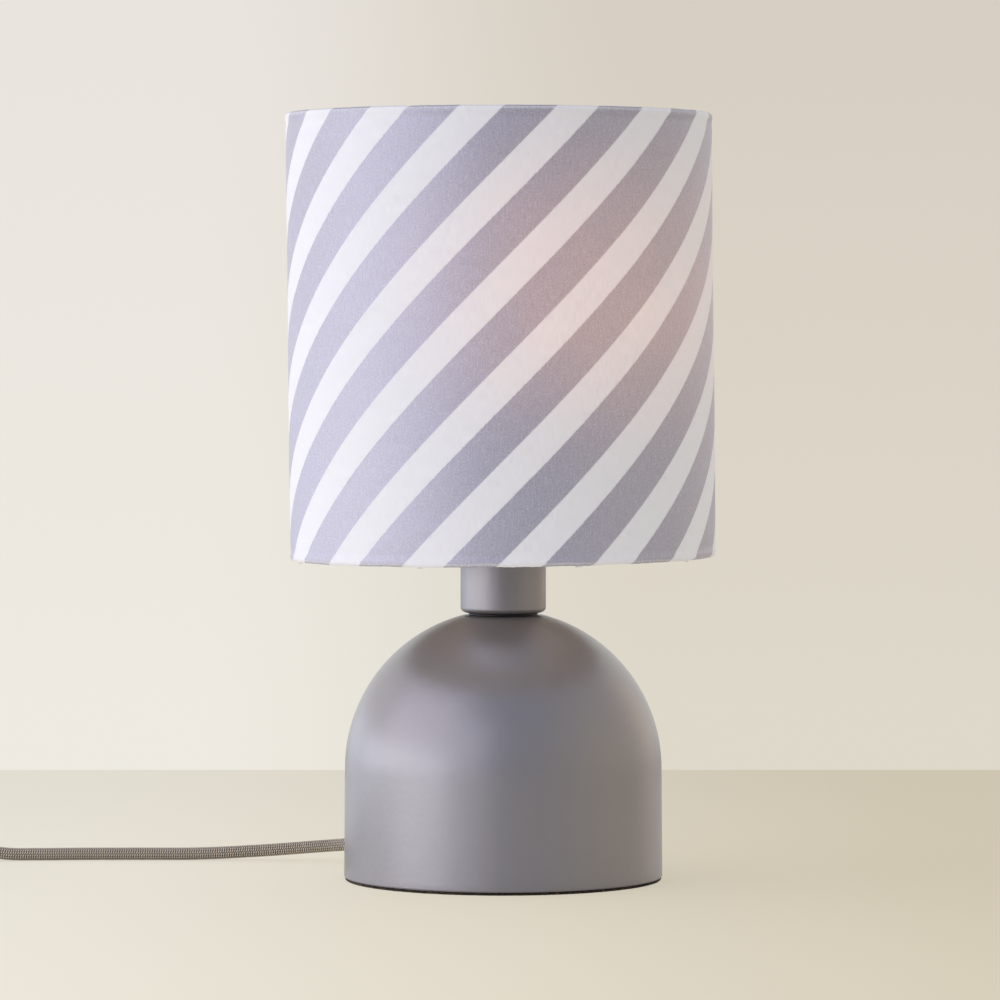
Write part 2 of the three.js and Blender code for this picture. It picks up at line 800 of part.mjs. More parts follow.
// Lamp
const bulb = group(lamp);
const tip = turned([
	[0, lampBottom], [tipRadius * 0.55, lampBottom], [tipRadius * 0.9, lampBottom + tipHeight * 0.4],
	[tipRadius, lampBottom + tipHeight], [0, lampBottom + tipHeight],
], smallSides);
piece(bulb, 'bulb_tip', tip, brass);

const plugInCap = lampCapBore - slip;
const insulator = turned([
	[0, insulatorBottom], [tipRadius + slip, insulatorBottom],
	[threadMean - threadDepth, insulatorBottom + insulatorHeight],
	[plugInCap, insulatorBottom + insulatorHeight],
	[plugInCap, lampCapBottom + threadPitch], [0, lampCapBottom + threadPitch],
], smallSides);
piece(bulb, 'bulb_insulator', insulator, blackPlastic);

const bulbCap = skinned([
	...threadRings(lampCapBottom, lampThreadTop, 0),
	levelRing(lampThreadTop + seat, () => lampCollarRadius),
	levelRing(lampCapTop, () => lampCollarRadius),
	levelRing(lampCapTop, () => lampCapBore),
	levelRing(lampCapBottom, () => lampCapBore),
], false);
piece(bulb, 'bulb_cap', bulbCap, zincSteel);

const boardSeat = housingTop - boardThickness - 3 * seat;
const boardRadius = lampHousingRadius - lampHousingWall - slip;

function bulbHousing() {
	const neck = lampCollarRadius + seat;
	const bow = 1.4; // how far the flare bows in
	const inside = lampHousingWall + slip;
	const flare = [0.2, 0.55].map((part) => [
		THREE.MathUtils.lerp(neck, lampHousingRadius, part) - bow * Math.sin(Math.PI * part),
		THREE.MathUtils.lerp(housingBottom, housingTop, part),
	]);
	return turned([
		[0, housingBottom - lampPlugLength], [plugInCap, housingBottom - lampPlugLength],
		[plugInCap, housingBottom], [neck, housingBottom], ...flare,
		[lampHousingRadius, housingTop], [lampHousingRadius - lampHousingWall, housingTop],
		[lampHousingRadius - lampHousingWall, boardSeat],
		[lampHousingRadius - lampHousingWall - inside, boardSeat],
		[neck - inside, housingBottom + inside], [0, housingBottom + inside],
	], mediumSides);
}

piece(bulb, 'bulb_housing', bulbHousing(), whitePlastic);
const boardBottom = boardSeat + seat;
const board = rod(boardRadius, boardBottom, boardBottom + boardThickness, mediumSides);
piece(bulb, 'led_board', board, boardGreen);

function bulbDiffuser() {
	const bottom = housingTop + seat;
	const inner = diffuserRadius - diffuserWall;
	const centre = [0, bottom + chord(diffuserRadius, lampHousingRadius)];
	const outerStart = Math.asin((bottom - centre[1]) / diffuserRadius);
	const innerStart = Math.asin((bottom - centre[1]) / inner);
	return turned([
		...arc(centre, inner, inner, Math.PI / 2, innerStart, 5),
		...arc(centre, diffuserRadius, diffuserRadius, outerStart, Math.PI / 2, 8),
	], mediumSides);
}

piece(bulb, 'bulb_diffuser', bulbDiffuser(), opalDiffuser);

// Shade rings on the lamp holder
const ringHole = circle(ringBore, mediumSides);
const lowerRing = collar(lowerRingRadius, ringBore, holderThreadBottom, lowerRingTop, mediumSides);
piece(lamp, 'shade_ring_lower', lowerRing, blackPlastic);

const ribs = circle(upperRingRadius, ringRibs * 4, upperRingRadius - ringRibDepth);
const upperRing = raised(ribs, upperRingBottom, upperRingBottom + upperRingHeight, [ringHole]);
piece(lamp, 'shade_ring_upper', upperRing, blackPlastic);

// Shade
const shade = group(lamp);
const fitter = collar(fitterRadius, fitterBore, fitterBottom, fitterTop, mediumSides);
piece(shade, 'shade_fitter_ring', fitter, whiteWire);

const linerBottom = shadeBottom + fabricThickness + seat;
const linerTop = shadeTop - fabricThickness - seat;
const lowerHoop = linerBottom + hoopWire / 2;
const upperHoop = linerTop - hoopWire / 2;

// The fabric is turned in over both hoops and ends level with their far sides.
function shadeFabric() {
	const soft = fabricThickness;
	return turnedRing([
		[shadeRadius, shadeBottom], [shadeRadius, shadeTop], [lipInner, shadeTop],
		[lipInner, upperHoop - hoopWire / 2], [lipOuter, upperHoop - hoopWire / 2],
		[lipOuter, shadeTop - soft], [fabricInner, shadeTop - soft],
		[fabricInner, shadeBottom + soft], [lipOuter, shadeBottom + soft],
		[lipOuter, lowerHoop + hoopWire / 2], [lipInner, lowerHoop + hoopWire / 2],
		[lipInner, shadeBottom],
	], largeSides);
}

piece(shade, 'shade_fabric', shadeFabric(), stripedFabric);
const liner = collar(linerOuter, linerInner, linerBottom, linerTop, largeSides);
piece(shade, 'shade_liner', liner, linerFilm);

function hoop(height) {
	const wire = hoopWire / 2;
	return turned(arc([hoopRadius, height], wire, wire, 0, 2 * Math.PI, wireSides), largeSides);
}

piece(shade, 'shade_hoop_bottom', hoop(lowerHoop), whiteWire);
piece(shade, 'shade_hoop_top', hoop(upperHoop), whiteWire);

// Each arm stands on the lower hoop and climbs to the rim of the fitter.
function shadeArm() {
	const onHoop = lowerHoop + hoopWire / 2 + seat + armRadius;
	const atFitter = (fitterBottom + fitterTop) / 2;
	const reach = linerInner - 2 * seat;
	const start = fitterRadius + seat;
	return swept(curveThrough([
		[reach, 0, onHoop], [reach - 6, 0, onHoop], [reach - 12, 0, onHoop + 1.6],
		[start + 16, 0, atFitter - 5.5], [start + 6, 0, atFitter - 0.6], [start, 0, atFitter],
	]), armRadius, wireSides, 12);
}

armAngles.forEach((angle, i) => {
	piece(group(shade, angle), `shade_arm_${i + 1}`, shadeArm(), whiteWire);
});

// Flex on the table, from the boot to the switch
const rest = cordRadius + 0.1;
const exitX = Math.cos(THREE.MathUtils.degToRad(exitAngle));
const exitY = Math.sin(THREE.MathUtils.degToRad(exitAngle));
const cordStart = reliefTip + seat;
const cordToSwitch = curveThrough([
	[cordStart * exitX, cordStart * exitY, exitHeight],
	[(cordStart + 6) * exitX, (cordStart + 6) * exitY, exitHeight - 0.1],
	[-76.8, 75.8, 8.8],
	[-83, 80.6, 7.9],
	[-91, 84.2, 7],
	[-101, 86.6, 6],
	[-113, 87.8, 5],
	[-126, 88, 4.2],
	[-140, 87.6, 3.5],
	[-155, 87.2, rest],
	[-172, 87, rest],
	[-190, 87, rest],
	[-210, 86.4, rest],
	[-230, 84.9, rest],
	[-244, 84.2, rest + 0.2],
	[-255, 84.8, 4.7],
	[-264, 86.4, 6.4],
	[switchStart + 6, switchLine, switchAxis],
	[switchStart + seat, switchLine, switchAxis],
]);
piece(lamp, 'cord_lamp_to_switch', swept(cordToSwitch, cordRadius, 10, 18), greyBraid);

// Switch, built about the middle of its underside
const switchGroup = group(lamp);
switchGroup.position.set(switchStart - switchLength / 2, switchLine, 0);
const switchSplit = switchAxis;
const baseTop = switchSplit - seat / 2;
const coverBottom = switchSplit + seat / 2;
const coverRoof = switchHeight - switchWall;
const pivotHeight = switchHeight - rockerPivotDrop;
const screwPlaces = [[-switchScrewAt[0], -switchScrewAt[1]], switchScrewAt];

function switchHollow(bottom, top) {
	const length = switchLength - 2 * switchWall;
	const width = switchWidth - 2 * switchWall;
	return raised(roundedRectangle(length, width, switchCorner - switchWall), bottom, top);
}

const switchOutline = roundedRectangle(switchLength, switchWidth, switchCorner);
const screwHeadTop = switchWall + seat;

function switchBase() {
	const box = raised(switchOutline, 0, baseTop);
	const hollow = switchHollow(switchWall, switchHeight);
	const bosses = screwPlaces.map(([x, y]) => rod(switchBoss, 1, baseTop, smallSides).translate(x, y, 0));
	const holes = screwPlaces.map(([x, y]) => turned([
		[0, -1], [switchScrewHead + slip, -1], [switchScrewHead + slip, screwHeadTop + seat],
		[switchScrewRadius + slip, screwHeadTop + seat], [switchScrewRadius + slip, switchHeight],
		[0, switchHeight],
	], smallSides).translate(x, y, 0));
	return cut(joined(cut(box, hollow), ...bosses), ...holes);
}

function switchCover() {
	const low = raised(switchOutline, coverBottom, switchHeight - switchTopBevel);
	const rings = [];
	for (const part of [0, 0.5, 1]) {
		const inset = switchTopBevel * (1 - Math.cos((part * Math.PI) / 2));
		const height = switchHeight - switchTopBevel * (1 - Math.sin((part * Math.PI) / 2));
		const [length, width] = [switchLength - 2 * inset, switchWidth - 2 * inset];
		const outline = roundedRectangle(length, width, switchCorner - inset);
		rings.push(outline.map((point) => new THREE.Vector3(point.x, point.y, height)));
	}
	const hollow = switchHollow(0, coverRoof);
	const shell = cut(joined(low, skinned(rings, true)), hollow);
	const slotX = rockerLength / 2 + 1;
	const slotY = rockerWidth / 2 + slip;
	const lugs = [-1, 1].map((side) => {
		const near = slotY + slip;
		const [y0, y1] = side > 0 ? [near, near + lugThickness] : [-near - lugThickness, -near];
		return block([-3, y0, pivotHeight - lugDepth / 2], [3, y1, coverRoof + 0.5]);
	});
	const bosses = screwPlaces.map(([x, y]) => {
		return rod(switchBoss, coverBottom, coverRoof + 0.5, smallSides).translate(x, y, 0);
	});
	const holes = screwPlaces.map(([x, y]) => {
		return rod(switchScrewRadius + slip, 0, pivotHeight, smallSides).translate(x, y, 0);
	});
	const slot = block([-slotX, -slotY, coverBottom], [slotX, slotY, switchHeight + 1]);
	const pinHole = rod(rockerPinRadius + slip, -switchWidth / 2 + 3, switchWidth / 2 - 3, smallSides);
	pinHole.rotateX(Math.PI / 2).translate(0, 0, pivotHeight);
	return cut(joined(shell, ...lugs, ...bosses), slot, pinHole, ...holes);
}

piece(switchGroup, 'switch_base', switchBase(), greyPlastic);
piece(switchGroup, 'switch_cover', switchCover(), greyPlastic);

screwPlaces.forEach(([x, y], i) => {
	const screw = turned([
		[0, screwHeadTop - 1.4], [switchScrewHead, screwHeadTop - 1.4], [switchScrewHead, screwHeadTop],
		[switchScrewRadius, screwHeadTop], [switchScrewRadius, pivotHeight - 1], [0, pivotHeight - 1],
	], smallSides);
	piece(switchGroup, `switch_screw_${i + 1}`, screw, zincSteel).position.set(x, y, 0);
});

const pivot = group(switchGroup);
pivot.position.z = pivotHeight;
const rockerPin = rod(rockerPinRadius, -rockerPinLength / 2, rockerPinLength / 2, smallSides);
piece(pivot, 'rocker_pin', rockerPin.rotateX(Math.PI / 2), zincSteel);

function switchRocker() {
	const half = rockerLength / 2;
	const outline = [
		[-half, 0.6], [-half + 3, -rockerBelow], [half - 3, -rockerBelow], [half, 0.6],
		[half, rockerEnd], [half - 1.2, rockerEnd], [0, rockerMiddle], [-half + 1.2, rockerEnd],
		[-half, rockerEnd],
	].map((point) => new THREE.Vector2(...point));
	return widened(outline, rockerWidth, [circle(rockerPinRadius + slip, smallSides)]);
}

// It rests with the end away from the lamp pressed.
const rocker = piece(pivot, 'switch_rocker', switchRocker(), blackPlastic);
rocker.rotation.y = -THREE.MathUtils.degToRad(rockerTilt);

// Flex from the switch round a bend to the coil
const switchEnd = switchStart - switchLength;
const coilJoin = coilCentreY + 2 * cordRadius;
const cordToCoil = curveThrough([
	[switchEnd - seat, switchLine, switchAxis],
	[switchEnd - 5, switchLine, switchAxis],
	[-344, 85.6, 6.6],
	[-352, 81.2, 6],
	[-359, 74.4, 5.4],
	[-363.8, 66, 4.9],
	[-365.8, 57, 4.6],
	[-366, 47, 4.4],
	[coilLine, 36, coilLower],
	[coilLine, 25, coilLower],
	[coilLine, 14, coilLower],
	[coilLine, coilJoin + 6, coilLower],
	[coilLine, coilJoin + seat, coilLower],
]);
piece(lamp, 'cord_switch_to_coil', swept(cordToCoil, cordRadius, 10, 12), greyBraid);

// Coil: in along the lower layer, up in the half turn where the spiral reverses, and out.
function coilPoint(turns) {
	const angle = Math.PI + 2 * Math.PI * turns;
	const fromMiddle = Math.abs(turns - coilTurns / 2);
	const radius = coilOuter - coilPitch * (coilTurns / 2 - fromMiddle);
	const climb = THREE.MathUtils.clamp(2 * (turns - coilTurns / 2) + 0.5, 0, 1);
	return new THREE.Vector3(
		coilCentreX + radius * Math.cos(angle),
		coilCentreY + radius * Math.sin(angle),
		coilLower + coilPitch * climb,
	);
}

const plugJoin = plugStart + seat;
const upper = coilLower + coilPitch;
const coilTail = [
	[coilLine, coilCentreY - 6, upper],
	[coilLine, coilCentreY - 14, upper - 0.6],
	[coilLine, coilCentreY - 24, plugAxis + 0.9],
	[coilLine, plugJoin + 6, plugAxis],
	[coilLine, plugJoin, plugAxis],
];

function coilPath(steps) {
	const points = [new THREE.Vector3(coilLine, coilJoin, coilLower)];
	for (let i = 0; i <= coilTurns * steps; i++) {
		points.push(coilPoint(i / steps));
	}
	coilTail.forEach((point) => points.push(new THREE.Vector3(...point)));
	return points;
}

function cordCoil() {
	const path = coilPath(coilSteps);
	const rings = path.map((point, i) => {
		const before = path[Math.max(i - 1, 0)];
		const after = path[Math.min(i + 1, path.length - 1)];
		const ahead = after.clone().sub(before).normalize();
		const side = ahead.clone().cross(new THREE.Vector3(0, 0, 1)).normalize();
		const up = side.clone().cross(ahead);
		const ring = [];
		for (let corner = 0; corner < coilSides; corner++) {
			const angle = (2 * Math.PI * corner) / coilSides;
			const place = point.clone().addScaledVector(side, cordRadius * Math.cos(angle));
			ring.push(place.addScaledVector(up, cordRadius * Math.sin(angle)));
		}
		return ring;
	});
	return skinned(rings, true);
}

piece(lamp, 'cord_coil', cordCoil(), greyBraid);

// The least gap between two stretches of the coil that aren't neighbours along it.
function leastCoilGap() {
	const path = coilPath(coilSteps * 4);
	const along = [0];
	path.slice(1).forEach((point, i) => along.push(along[i] + point.distanceTo(path[i])));
	let least = Infinity;
	for (let i = 0; i < path.length; i++) {
		for (let j = i + 1; j < path.length; j++) {
			if (along[j] - along[i] < 4 * coilPitch) continue;
			least = Math.min(least, path[i].distanceTo(path[j]) - 2 * cordRadius);
		}
	}
	return least;
}

console.log(`least gap of the coil to itself: ${leastCoilGap().toFixed(2)} mm`);

// A strap round the loops, on the side away from the plug
function coilTie() {
	const bottom = coilLower - cordRadius - seat - tieThickness;
	const top = upper + cordRadius + seat + tieThickness;
	const frame = (grow) => {
		const middleX = (tieInner + tieOuter) / 2;
		const middleZ = (bottom + top) / 2;
		const length = tieOuter - tieInner + 2 * grow;
		const height = top - bottom - 2 * tieThickness + 2 * grow;
		const outline = roundedRectangle(length, height, 1 + grow);
		return outline.map((point) => new THREE.Vector2(point.x + middleX, point.y + middleZ));
	};
	return widened(frame(tieThickness), tieWidth, [frame(0)]);
}

const tie = piece(lamp, 'coil_tie', coilTie(), blackStrap);
tie.position.set(coilCentreX, coilCentreY, 0);

// Plug, along -Y
const plug = group(lamp, -90);
plug.position.set(coilLine, plugStart, plugAxis);

function bladeBlank(grow, sunk) {
	const x0 = plugBootLength + plugLength - sunk;
	const x1 = plugBootLength + plugLength + bladeLength;
	const [y, z] = [bladeThickness / 2 + grow, bladeWidth / 2 + grow];
	return block([x0, -y, -z], [x1, y, z]);
}

function plugBody() {
	const end = plugBootLength + plugLength;
	const grip = raised(roundedRectangle(plugHeight, plugWidth, plugCorner), plugBootLength, end);
	const boot = turned([
		[0, 0], [plugBootTip, 0], [plugBootRadius, plugBootLength],
		[plugBootRadius, plugBootLength + 2], [0, plugBootLength + 2],
	], smallSides);
	const slots = [-1, 1].map((side) => {
		return bladeBlank(slip, bladeSunk + seat).translate(0, (side * bladeSpacing) / 2, 0);
	});
	return cut(alongX(joined(grip, boot)), ...slots);
}

piece(plug, 'plug_body', plugBody(), blackPlastic);

[-1, 1].forEach((side, i) => {
	const hole = rod(bladeHole, -bladeThickness, bladeThickness, smallSides).rotateX(Math.PI / 2);
	hole.translate(plugBootLength + plugLength + bladeLength - 4, 0, 0);
	const blade = piece(plug, `plug_blade_${i + 1}`, cut(bladeBlank(0, bladeSunk), hole), brass);
	blade.position.y = (side * bladeSpacing) / 2;
});

export default lamp;
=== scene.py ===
import math

import bmesh
import bpy
from mathutils import Matrix, Vector, noise


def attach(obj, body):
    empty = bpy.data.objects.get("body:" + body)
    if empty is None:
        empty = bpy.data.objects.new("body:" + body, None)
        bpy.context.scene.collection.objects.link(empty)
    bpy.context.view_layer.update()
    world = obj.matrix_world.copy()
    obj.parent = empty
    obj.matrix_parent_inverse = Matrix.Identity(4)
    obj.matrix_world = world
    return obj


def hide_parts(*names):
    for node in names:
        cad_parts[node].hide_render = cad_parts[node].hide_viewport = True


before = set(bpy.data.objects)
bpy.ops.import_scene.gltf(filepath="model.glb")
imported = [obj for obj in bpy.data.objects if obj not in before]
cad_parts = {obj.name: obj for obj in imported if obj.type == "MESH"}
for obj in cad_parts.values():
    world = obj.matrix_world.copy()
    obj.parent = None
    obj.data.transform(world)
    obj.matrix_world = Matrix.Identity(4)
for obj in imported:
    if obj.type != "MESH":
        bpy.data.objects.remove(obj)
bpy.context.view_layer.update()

# A table lamp with a striped drum shade, standing on a pale table.
# Pieces are drawn in millimetres and brought to metres when they are done.

print("frame loaded:", len(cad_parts), "nodes")


def linear(hexColour):
    channels = [int(hexColour[i : i + 2], 16) / 255 for i in (1, 3, 5)]
    return [c / 12.92 if c <= 0.04045 else ((c + 0.055) / 1.055) ** 2.4 for c in channels] + [1.0]


# A node given as an input is linked by its first live output.
def addNode(tree, kind, inputs, **settings):
    made = tree.nodes.new("ShaderNode" + kind)
    for name, value in settings.items():
        setattr(made, name, value)
    for name, value in inputs.items():
        if isinstance(value, bpy.types.Node):
            value = next(way for way in value.outputs if way.enabled)
        if isinstance(value, bpy.types.NodeSocket):
            tree.links.new(value, made.inputs[name])
        else:
            made.inputs[name].default_value = value
    return made


def newTree(name):
    material = bpy.data.materials.new(name)
    material.use_nodes = True
    tree = material.node_tree
    tree.nodes.clear()
    return material, tree, addNode(tree, "TexCoord", {}).outputs["Object"]


# The real shade sits a little askew on its fitter, and so do all its pieces.
askew = {"degrees": 0.58, "aside": 0.5, "fitter": 192.5, "levelFrom": 250}
shadeLean = (
    Matrix.Translation((-askew["aside"], 0, askew["fitter"]))
    @ Matrix.Rotation(math.radians(-askew["degrees"]), 4, "Y")
    @ Matrix.Translation((0, 0, -askew["fitter"]))
)


# Its upper rim is level all the same: the wall is a little taller on the side that leans down.
def rimLift(x, height):
    share = min(max((height - askew["levelFrom"]) / (shade["top"] - askew["levelFrom"]), 0), 1)
    eased = share * share * (3 - 2 * share)
    return -math.sin(math.radians(askew["degrees"])) * x * eased


# A finished bmesh in millimetres becomes a piece that rides on a body.
def makePiece(bm, name, material, body, stands=(), sharpFrom=40):
    if body == "shade":
        for vert in bm.verts:
            vert.co.z += rimLift(vert.co.x, vert.co.z)
        place(bm, shadeLean)
    bmesh.ops.scale(bm, vec=(0.001, 0.001, 0.001), verts=bm.verts)
    mesh = bpy.data.meshes.new(name)
    bm.to_mesh(mesh)
    bm.free()
    mesh.shade_smooth()
    mesh.set_sharp_from_angle(angle=math.radians(sharpFrom))
    mesh.materials.append(material)
    piece = bpy.data.objects.new(name, mesh)
    bpy.context.scene.collection.objects.link(piece)
    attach(piece, body)
    if stands:
        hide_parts(*stands)
    return piece


def arcPoints(centre, across, high, start, end, steps):
    angles = [start + (end - start) * i / steps for i in range(steps + 1)]
    return [(centre[0] + across * math.cos(a), centre[1] + high * math.sin(a)) for a in angles]


# A profile of radius and height, spun about Z. A closed profile makes a ring.
def lathe(profile, sides, closed=False):
    bm = bmesh.new()
    points = [bm.verts.new((radius, 0, height)) for radius, height in profile]
    pairs = list(zip(points, points[1:])) + ([(points[-1], points[0])] if closed else [])
    edges = [bm.edges.new(pair) for pair in pairs]
    bmesh.ops.spin(
        bm, geom=points + edges, cent=(0, 0, 0), axis=(0, 0, 1), angle=math.tau,
        steps=sides, use_merge=True,
    )
    bmesh.ops.remove_doubles(bm, verts=bm.verts, dist=0.001)
    bmesh.ops.recalc_face_normals(bm, faces=bm.faces)
    return bm


def bevelEdges(bm, edges, width, segments):
    bmesh.ops.bevel(
        bm, geom=edges, offset=width, segments=segments, profile=0.5, affect="EDGES",
        material=-1, clamp_overlap=True,
    )
    return bm


# Breaks the sharp edges, as a tool, a mould or paint does.
def easeEdges(bm, width, segments=2, sharperThan=40):
    paired = [e for e in bm.edges if len(e.link_faces) == 2]
    sharp = [e for e in paired if e.calc_face_angle() > math.radians(sharperThan)]
    return bevelEdges(bm, sharp, width, segments)


curveSteps = 24  # between two given points, before the line is evened out


# Points on a centripetal curve through the given ones, an even step apart.
def smoothLine(points, step):
    known = [Vector(p) for p in points]
    known = [2 * known[0] - known[1]] + known + [2 * known[-1] - known[-2]]
    fine = []
    for a, b, c, d in zip(known, known[1:], known[2:], known[3:]):
        t1 = (b - a).length ** 0.5
        t2 = t1 + (c - b).length ** 0.5
        t3 = t2 + (d - c).length ** 0.5
        for i in range(curveSteps):
            t = t1 + (t2 - t1) * i / curveSteps
            ab = a.lerp(b, t / t1)
            bc = b.lerp(c, (t - t1) / (t2 - t1))
            cd = c.lerp(d, (t - t2) / (t3 - t2))
            abc = ab.lerp(bc, t / t2)
            bcd = bc.lerp(cd, (t - t1) / (t3 - t1))
            fine.append(abc.lerp(bcd, (t - t1) / (t2 - t1)))
    fine.append(known[-2])
    return evenLine(fine, step)


def evenLine(fine, step):
    along = [0.0]
    for a, b in zip(fine, fine[1:]):
        along.append(along[-1] + (b - a).length)
    count = max(2, round(along[-1] / step))
    line, k = [], 0
    for i in range(count + 1):
        want = along[-1] * i / count
        while k < len(fine) - 2 and along[k + 1] < want:
            k += 1
        line.append(fine[k].lerp(fine[k + 1], (want - along[k]) / (along[k + 1] - along[k])))
    return line


def lineLength(line):
    return sum((b - a).length for a, b in zip(line, line[1:]))


# A grid rolled round a line, with its length and its turn as its own UV map, in metres and
# turns. The radius may change with the length, in millimetres, and with the turn.
def tube(line, radiusAt, sides):
    bm = bmesh.new()
    layer = bm.loops.layers.uv.new("alongCord")
    rows = len(line) - 1
    bmesh.ops.create_grid(bm, x_segments=rows, y_segments=sides, size=1, calc_uvs=True)
    total = lineLength(line)
    for face in bm.faces:
        for loop in face.loops:
            x, y = loop.vert.co.x, loop.vert.co.y
            loop[layer].uv = ((x + 1) / 2 * total / 1000, (y + 1) / 2)
    frames, up = [], Vector((0, 0, 1))
    for i in range(rows + 1):
        ahead = (line[min(i + 1, rows)] - line[max(i - 1, 0)]).normalized()
        if i == 0 and abs(ahead.z) > 0.9:
            up = Vector((1, 0, 0))
        side = ahead.cross(up).normalized()
        up = side.cross(ahead).normalized()
        frames.append((side, up))
    for vert in bm.verts:
        i = round((vert.co.x + 1) / 2 * rows)
        turn = (vert.co.y + 1) / 2
        side, up = frames[i]
        outward = math.cos(turn * math.tau) * side + math.sin(turn * math.tau) * up
        vert.co = line[i] + radiusAt(total * i / rows, turn) * outward
    bmesh.ops.remove_doubles(bm, verts=bm.verts, dist=0.0005)
    ends = [e for e in bm.edges if e.is_boundary]
    bmesh.ops.holes_fill(bm, edges=ends, sides=0)
    bmesh.ops.recalc_face_normals(bm, faces=bm.faces)
    return bm


# A box with round upright corners.
def roundedBox(length, width, bottom, top, corner):
    bm = bmesh.new()
    bmesh.ops.create_cube(bm, size=1)
    bmesh.ops.scale(bm, vec=(length, width, top - bottom), verts=bm.verts)
    bmesh.ops.translate(bm, vec=(0, 0, (top + bottom) / 2), verts=bm.verts)
    upright = [e for e in bm.edges if abs(e.verts[0].co.z - e.verts[1].co.z) > 0.01]
    return bevelEdges(bm, upright, corner, segments=6)


def easeRim(bm, level, width, segments):
    rim = [e for e in bm.edges if all(abs(v.co.z - level) < 0.01 for v in e.verts)]
    return bevelEdges(bm, rim, width, segments)


def faceAt(bm, level):
    flat = [f for f in bm.faces if abs(f.calc_center_median().z - level) < 0.01]
    return max(flat, key=lambda f: f.calc_area())


def place(bm, matrix):
    bmesh.ops.transform(bm, matrix=matrix, verts=bm.verts)
    return bm


def joinMeshes(parts):
    whole = bmesh.new()
    for part in parts:
        mesh = bpy.data.meshes.new("joining")
        part.to_mesh(mesh)
        part.free()
        whole.from_mesh(mesh)
        bpy.data.meshes.remove(mesh)
    return whole


# metres, degrees and millimetres
view = {"place": (-0.00155, -2.475, 0.2631), "pitchDown": 1.904, "lens": 187.2}
cameraData = bpy.data.cameras.new("camera")
cameraData.lens = view["lens"]
cameraData.sensor_width = 36
camera = bpy.data.objects.new("camera", cameraData)
camera.location = view["place"]
camera.rotation_euler = (math.radians(90 - view["pitchDown"]), 0, 0)
bpy.context.scene.collection.objects.link(camera)
bpy.context.scene.camera = camera


# Plastic from a steel mould: an even colour with a faint mottle and a fine spark-eroded grain.
# The mottle, the grain and its depth are in mm.
def mouldedPlastic(name, colour, darker, roughness, grain=0.35, depth=0.02, mottled=14):
    material, tree, spot = newTree(name)
    mottle = addNode(tree, "TexNoise", {"Vector": spot, "Scale": 1000 / mottled, "Detail": 3.0})
    grit = addNode(tree, "TexNoise", {"Vector": spot, "Scale": 1000 / grain, "Detail": 2.0})
    tint = addNode(tree, "Mix", {0: mottle, 6: linear(darker), 7: linear(colour)}, data_type="RGBA")
    gloss = addNode(
        tree, "MapRange", {"Value": grit, "To Min": roughness - 0.05, "To Max": roughness + 0.07}
    )
    bump = addNode(tree, "Bump", {"Height": grit, "Strength": 0.35, "Distance": depth / 1000})
    shader = addNode(
        tree, "BsdfPrincipled", {"Base Color": tint, "Roughness": gloss, "IOR": 1.5, "Normal": bump}
    )
    addNode(tree, "OutputMaterial", {"Surface": shader})
    return material


# Plated, drawn or turned metal: fine lines round the piece and a clouded shine.
# The lines, their depth and the clouds are in mm.
def workedMetal(name, colour, darker, roughness, lines=0.4, depth=0.006, clouded=6, drawnOut=0.05):
    material, tree, spot = newTree(name)
    cloud = addNode(tree, "TexNoise", {"Vector": spot, "Scale": 1000 / clouded, "Detail": 4.0})
    flat = addNode(tree, "Mapping", {"Vector": spot, "Scale": (drawnOut, drawnOut, 1.0)})
    drawn = addNode(tree, "TexNoise", {"Vector": flat, "Scale": 1000 / lines, "Detail": 2.0})
    tint = addNode(tree, "Mix", {0: cloud, 6: linear(darker), 7: linear(colour)}, data_type="RGBA")
    gloss = addNode(
        tree, "MapRange", {"Value": cloud, "To Min": roughness + 0.08, "To Max": roughness - 0.05}
    )
    bump = addNode(tree, "Bump", {"Height": drawn, "Strength": 0.3, "Distance": depth / 1000})
    shader = addNode(
        tree, "BsdfPrincipled",
        {"Base Color": tint, "Metallic": 1.0, "Roughness": gloss, "Normal": bump},
    )
    addNode(tree, "OutputMaterial", {"Surface": shader})
    return material


# Metallic satin lacquer, sprayed on spun steel: a wide soft shine that darkens away from the
# light, over a hint of orange peel.
def satinPaint():
    look = {
        "colour": "#b0adaf", "cloud": "#aaa7a9", "metallic": 0.71,
        "roughness": 0.37, "flakeSpread": 0.03,
        "peel": 2.6, "peelDepth": 0.2, "flake": 0.5, "clouded": 45,  # mm
    }
    material, tree, spot = newTree("satinLacquerOnSteel")
    cloud = addNode(
        tree, "TexNoise", {"Vector": spot, "Scale": 1000 / look["clouded"], "Detail": 3.0}
    )
    flake = addNode(
        tree, "TexNoise", {"Vector": spot, "Scale": 1000 / look["flake"], "Detail": 1.0}
    )
    peel = addNode(tree, "TexNoise", {"Vector": spot, "Scale": 1000 / look["peel"], "Detail": 2.0})
    tint = addNode(
        tree, "Mix", {0: cloud, 6: linear(look["cloud"]), 7: linear(look["colour"])},
        data_type="RGBA",
    )
    gloss = addNode(
        tree,
        "MapRange",
        {
            "Value": flake, "From Min": 0.3, "From Max": 0.7,
            "To Min": look["roughness"] - look["flakeSpread"],
            "To Max": look["roughness"] + look["flakeSpread"],
        },
    )
    bump = addNode(
        tree, "Bump", {"Height": peel, "Strength": 0.3, "Distance": look["peelDepth"] / 1000}
    )
    shader = addNode(
        tree,
        "BsdfPrincipled",
        {
            "Base Color": tint, "Metallic": look["metallic"], "Roughness": gloss, "IOR": 1.5,
            "Normal": bump,
        },
    )
    addNode(tree, "OutputMaterial", {"Surface": shader})
    return material


shade = {
    "radius": 101.2, "bottom": 153.4, "top": 364.5, "fabric": 0.5, "lip": 96.5, "lipEnd": 3.2,
    "turn": 1.7, "lipTurn": 1.1, "lapOver": 12.0, "columns": 640, "firstRow": 2.3, "hoop": 98.3,
    "hoopWire": 2.4,
}


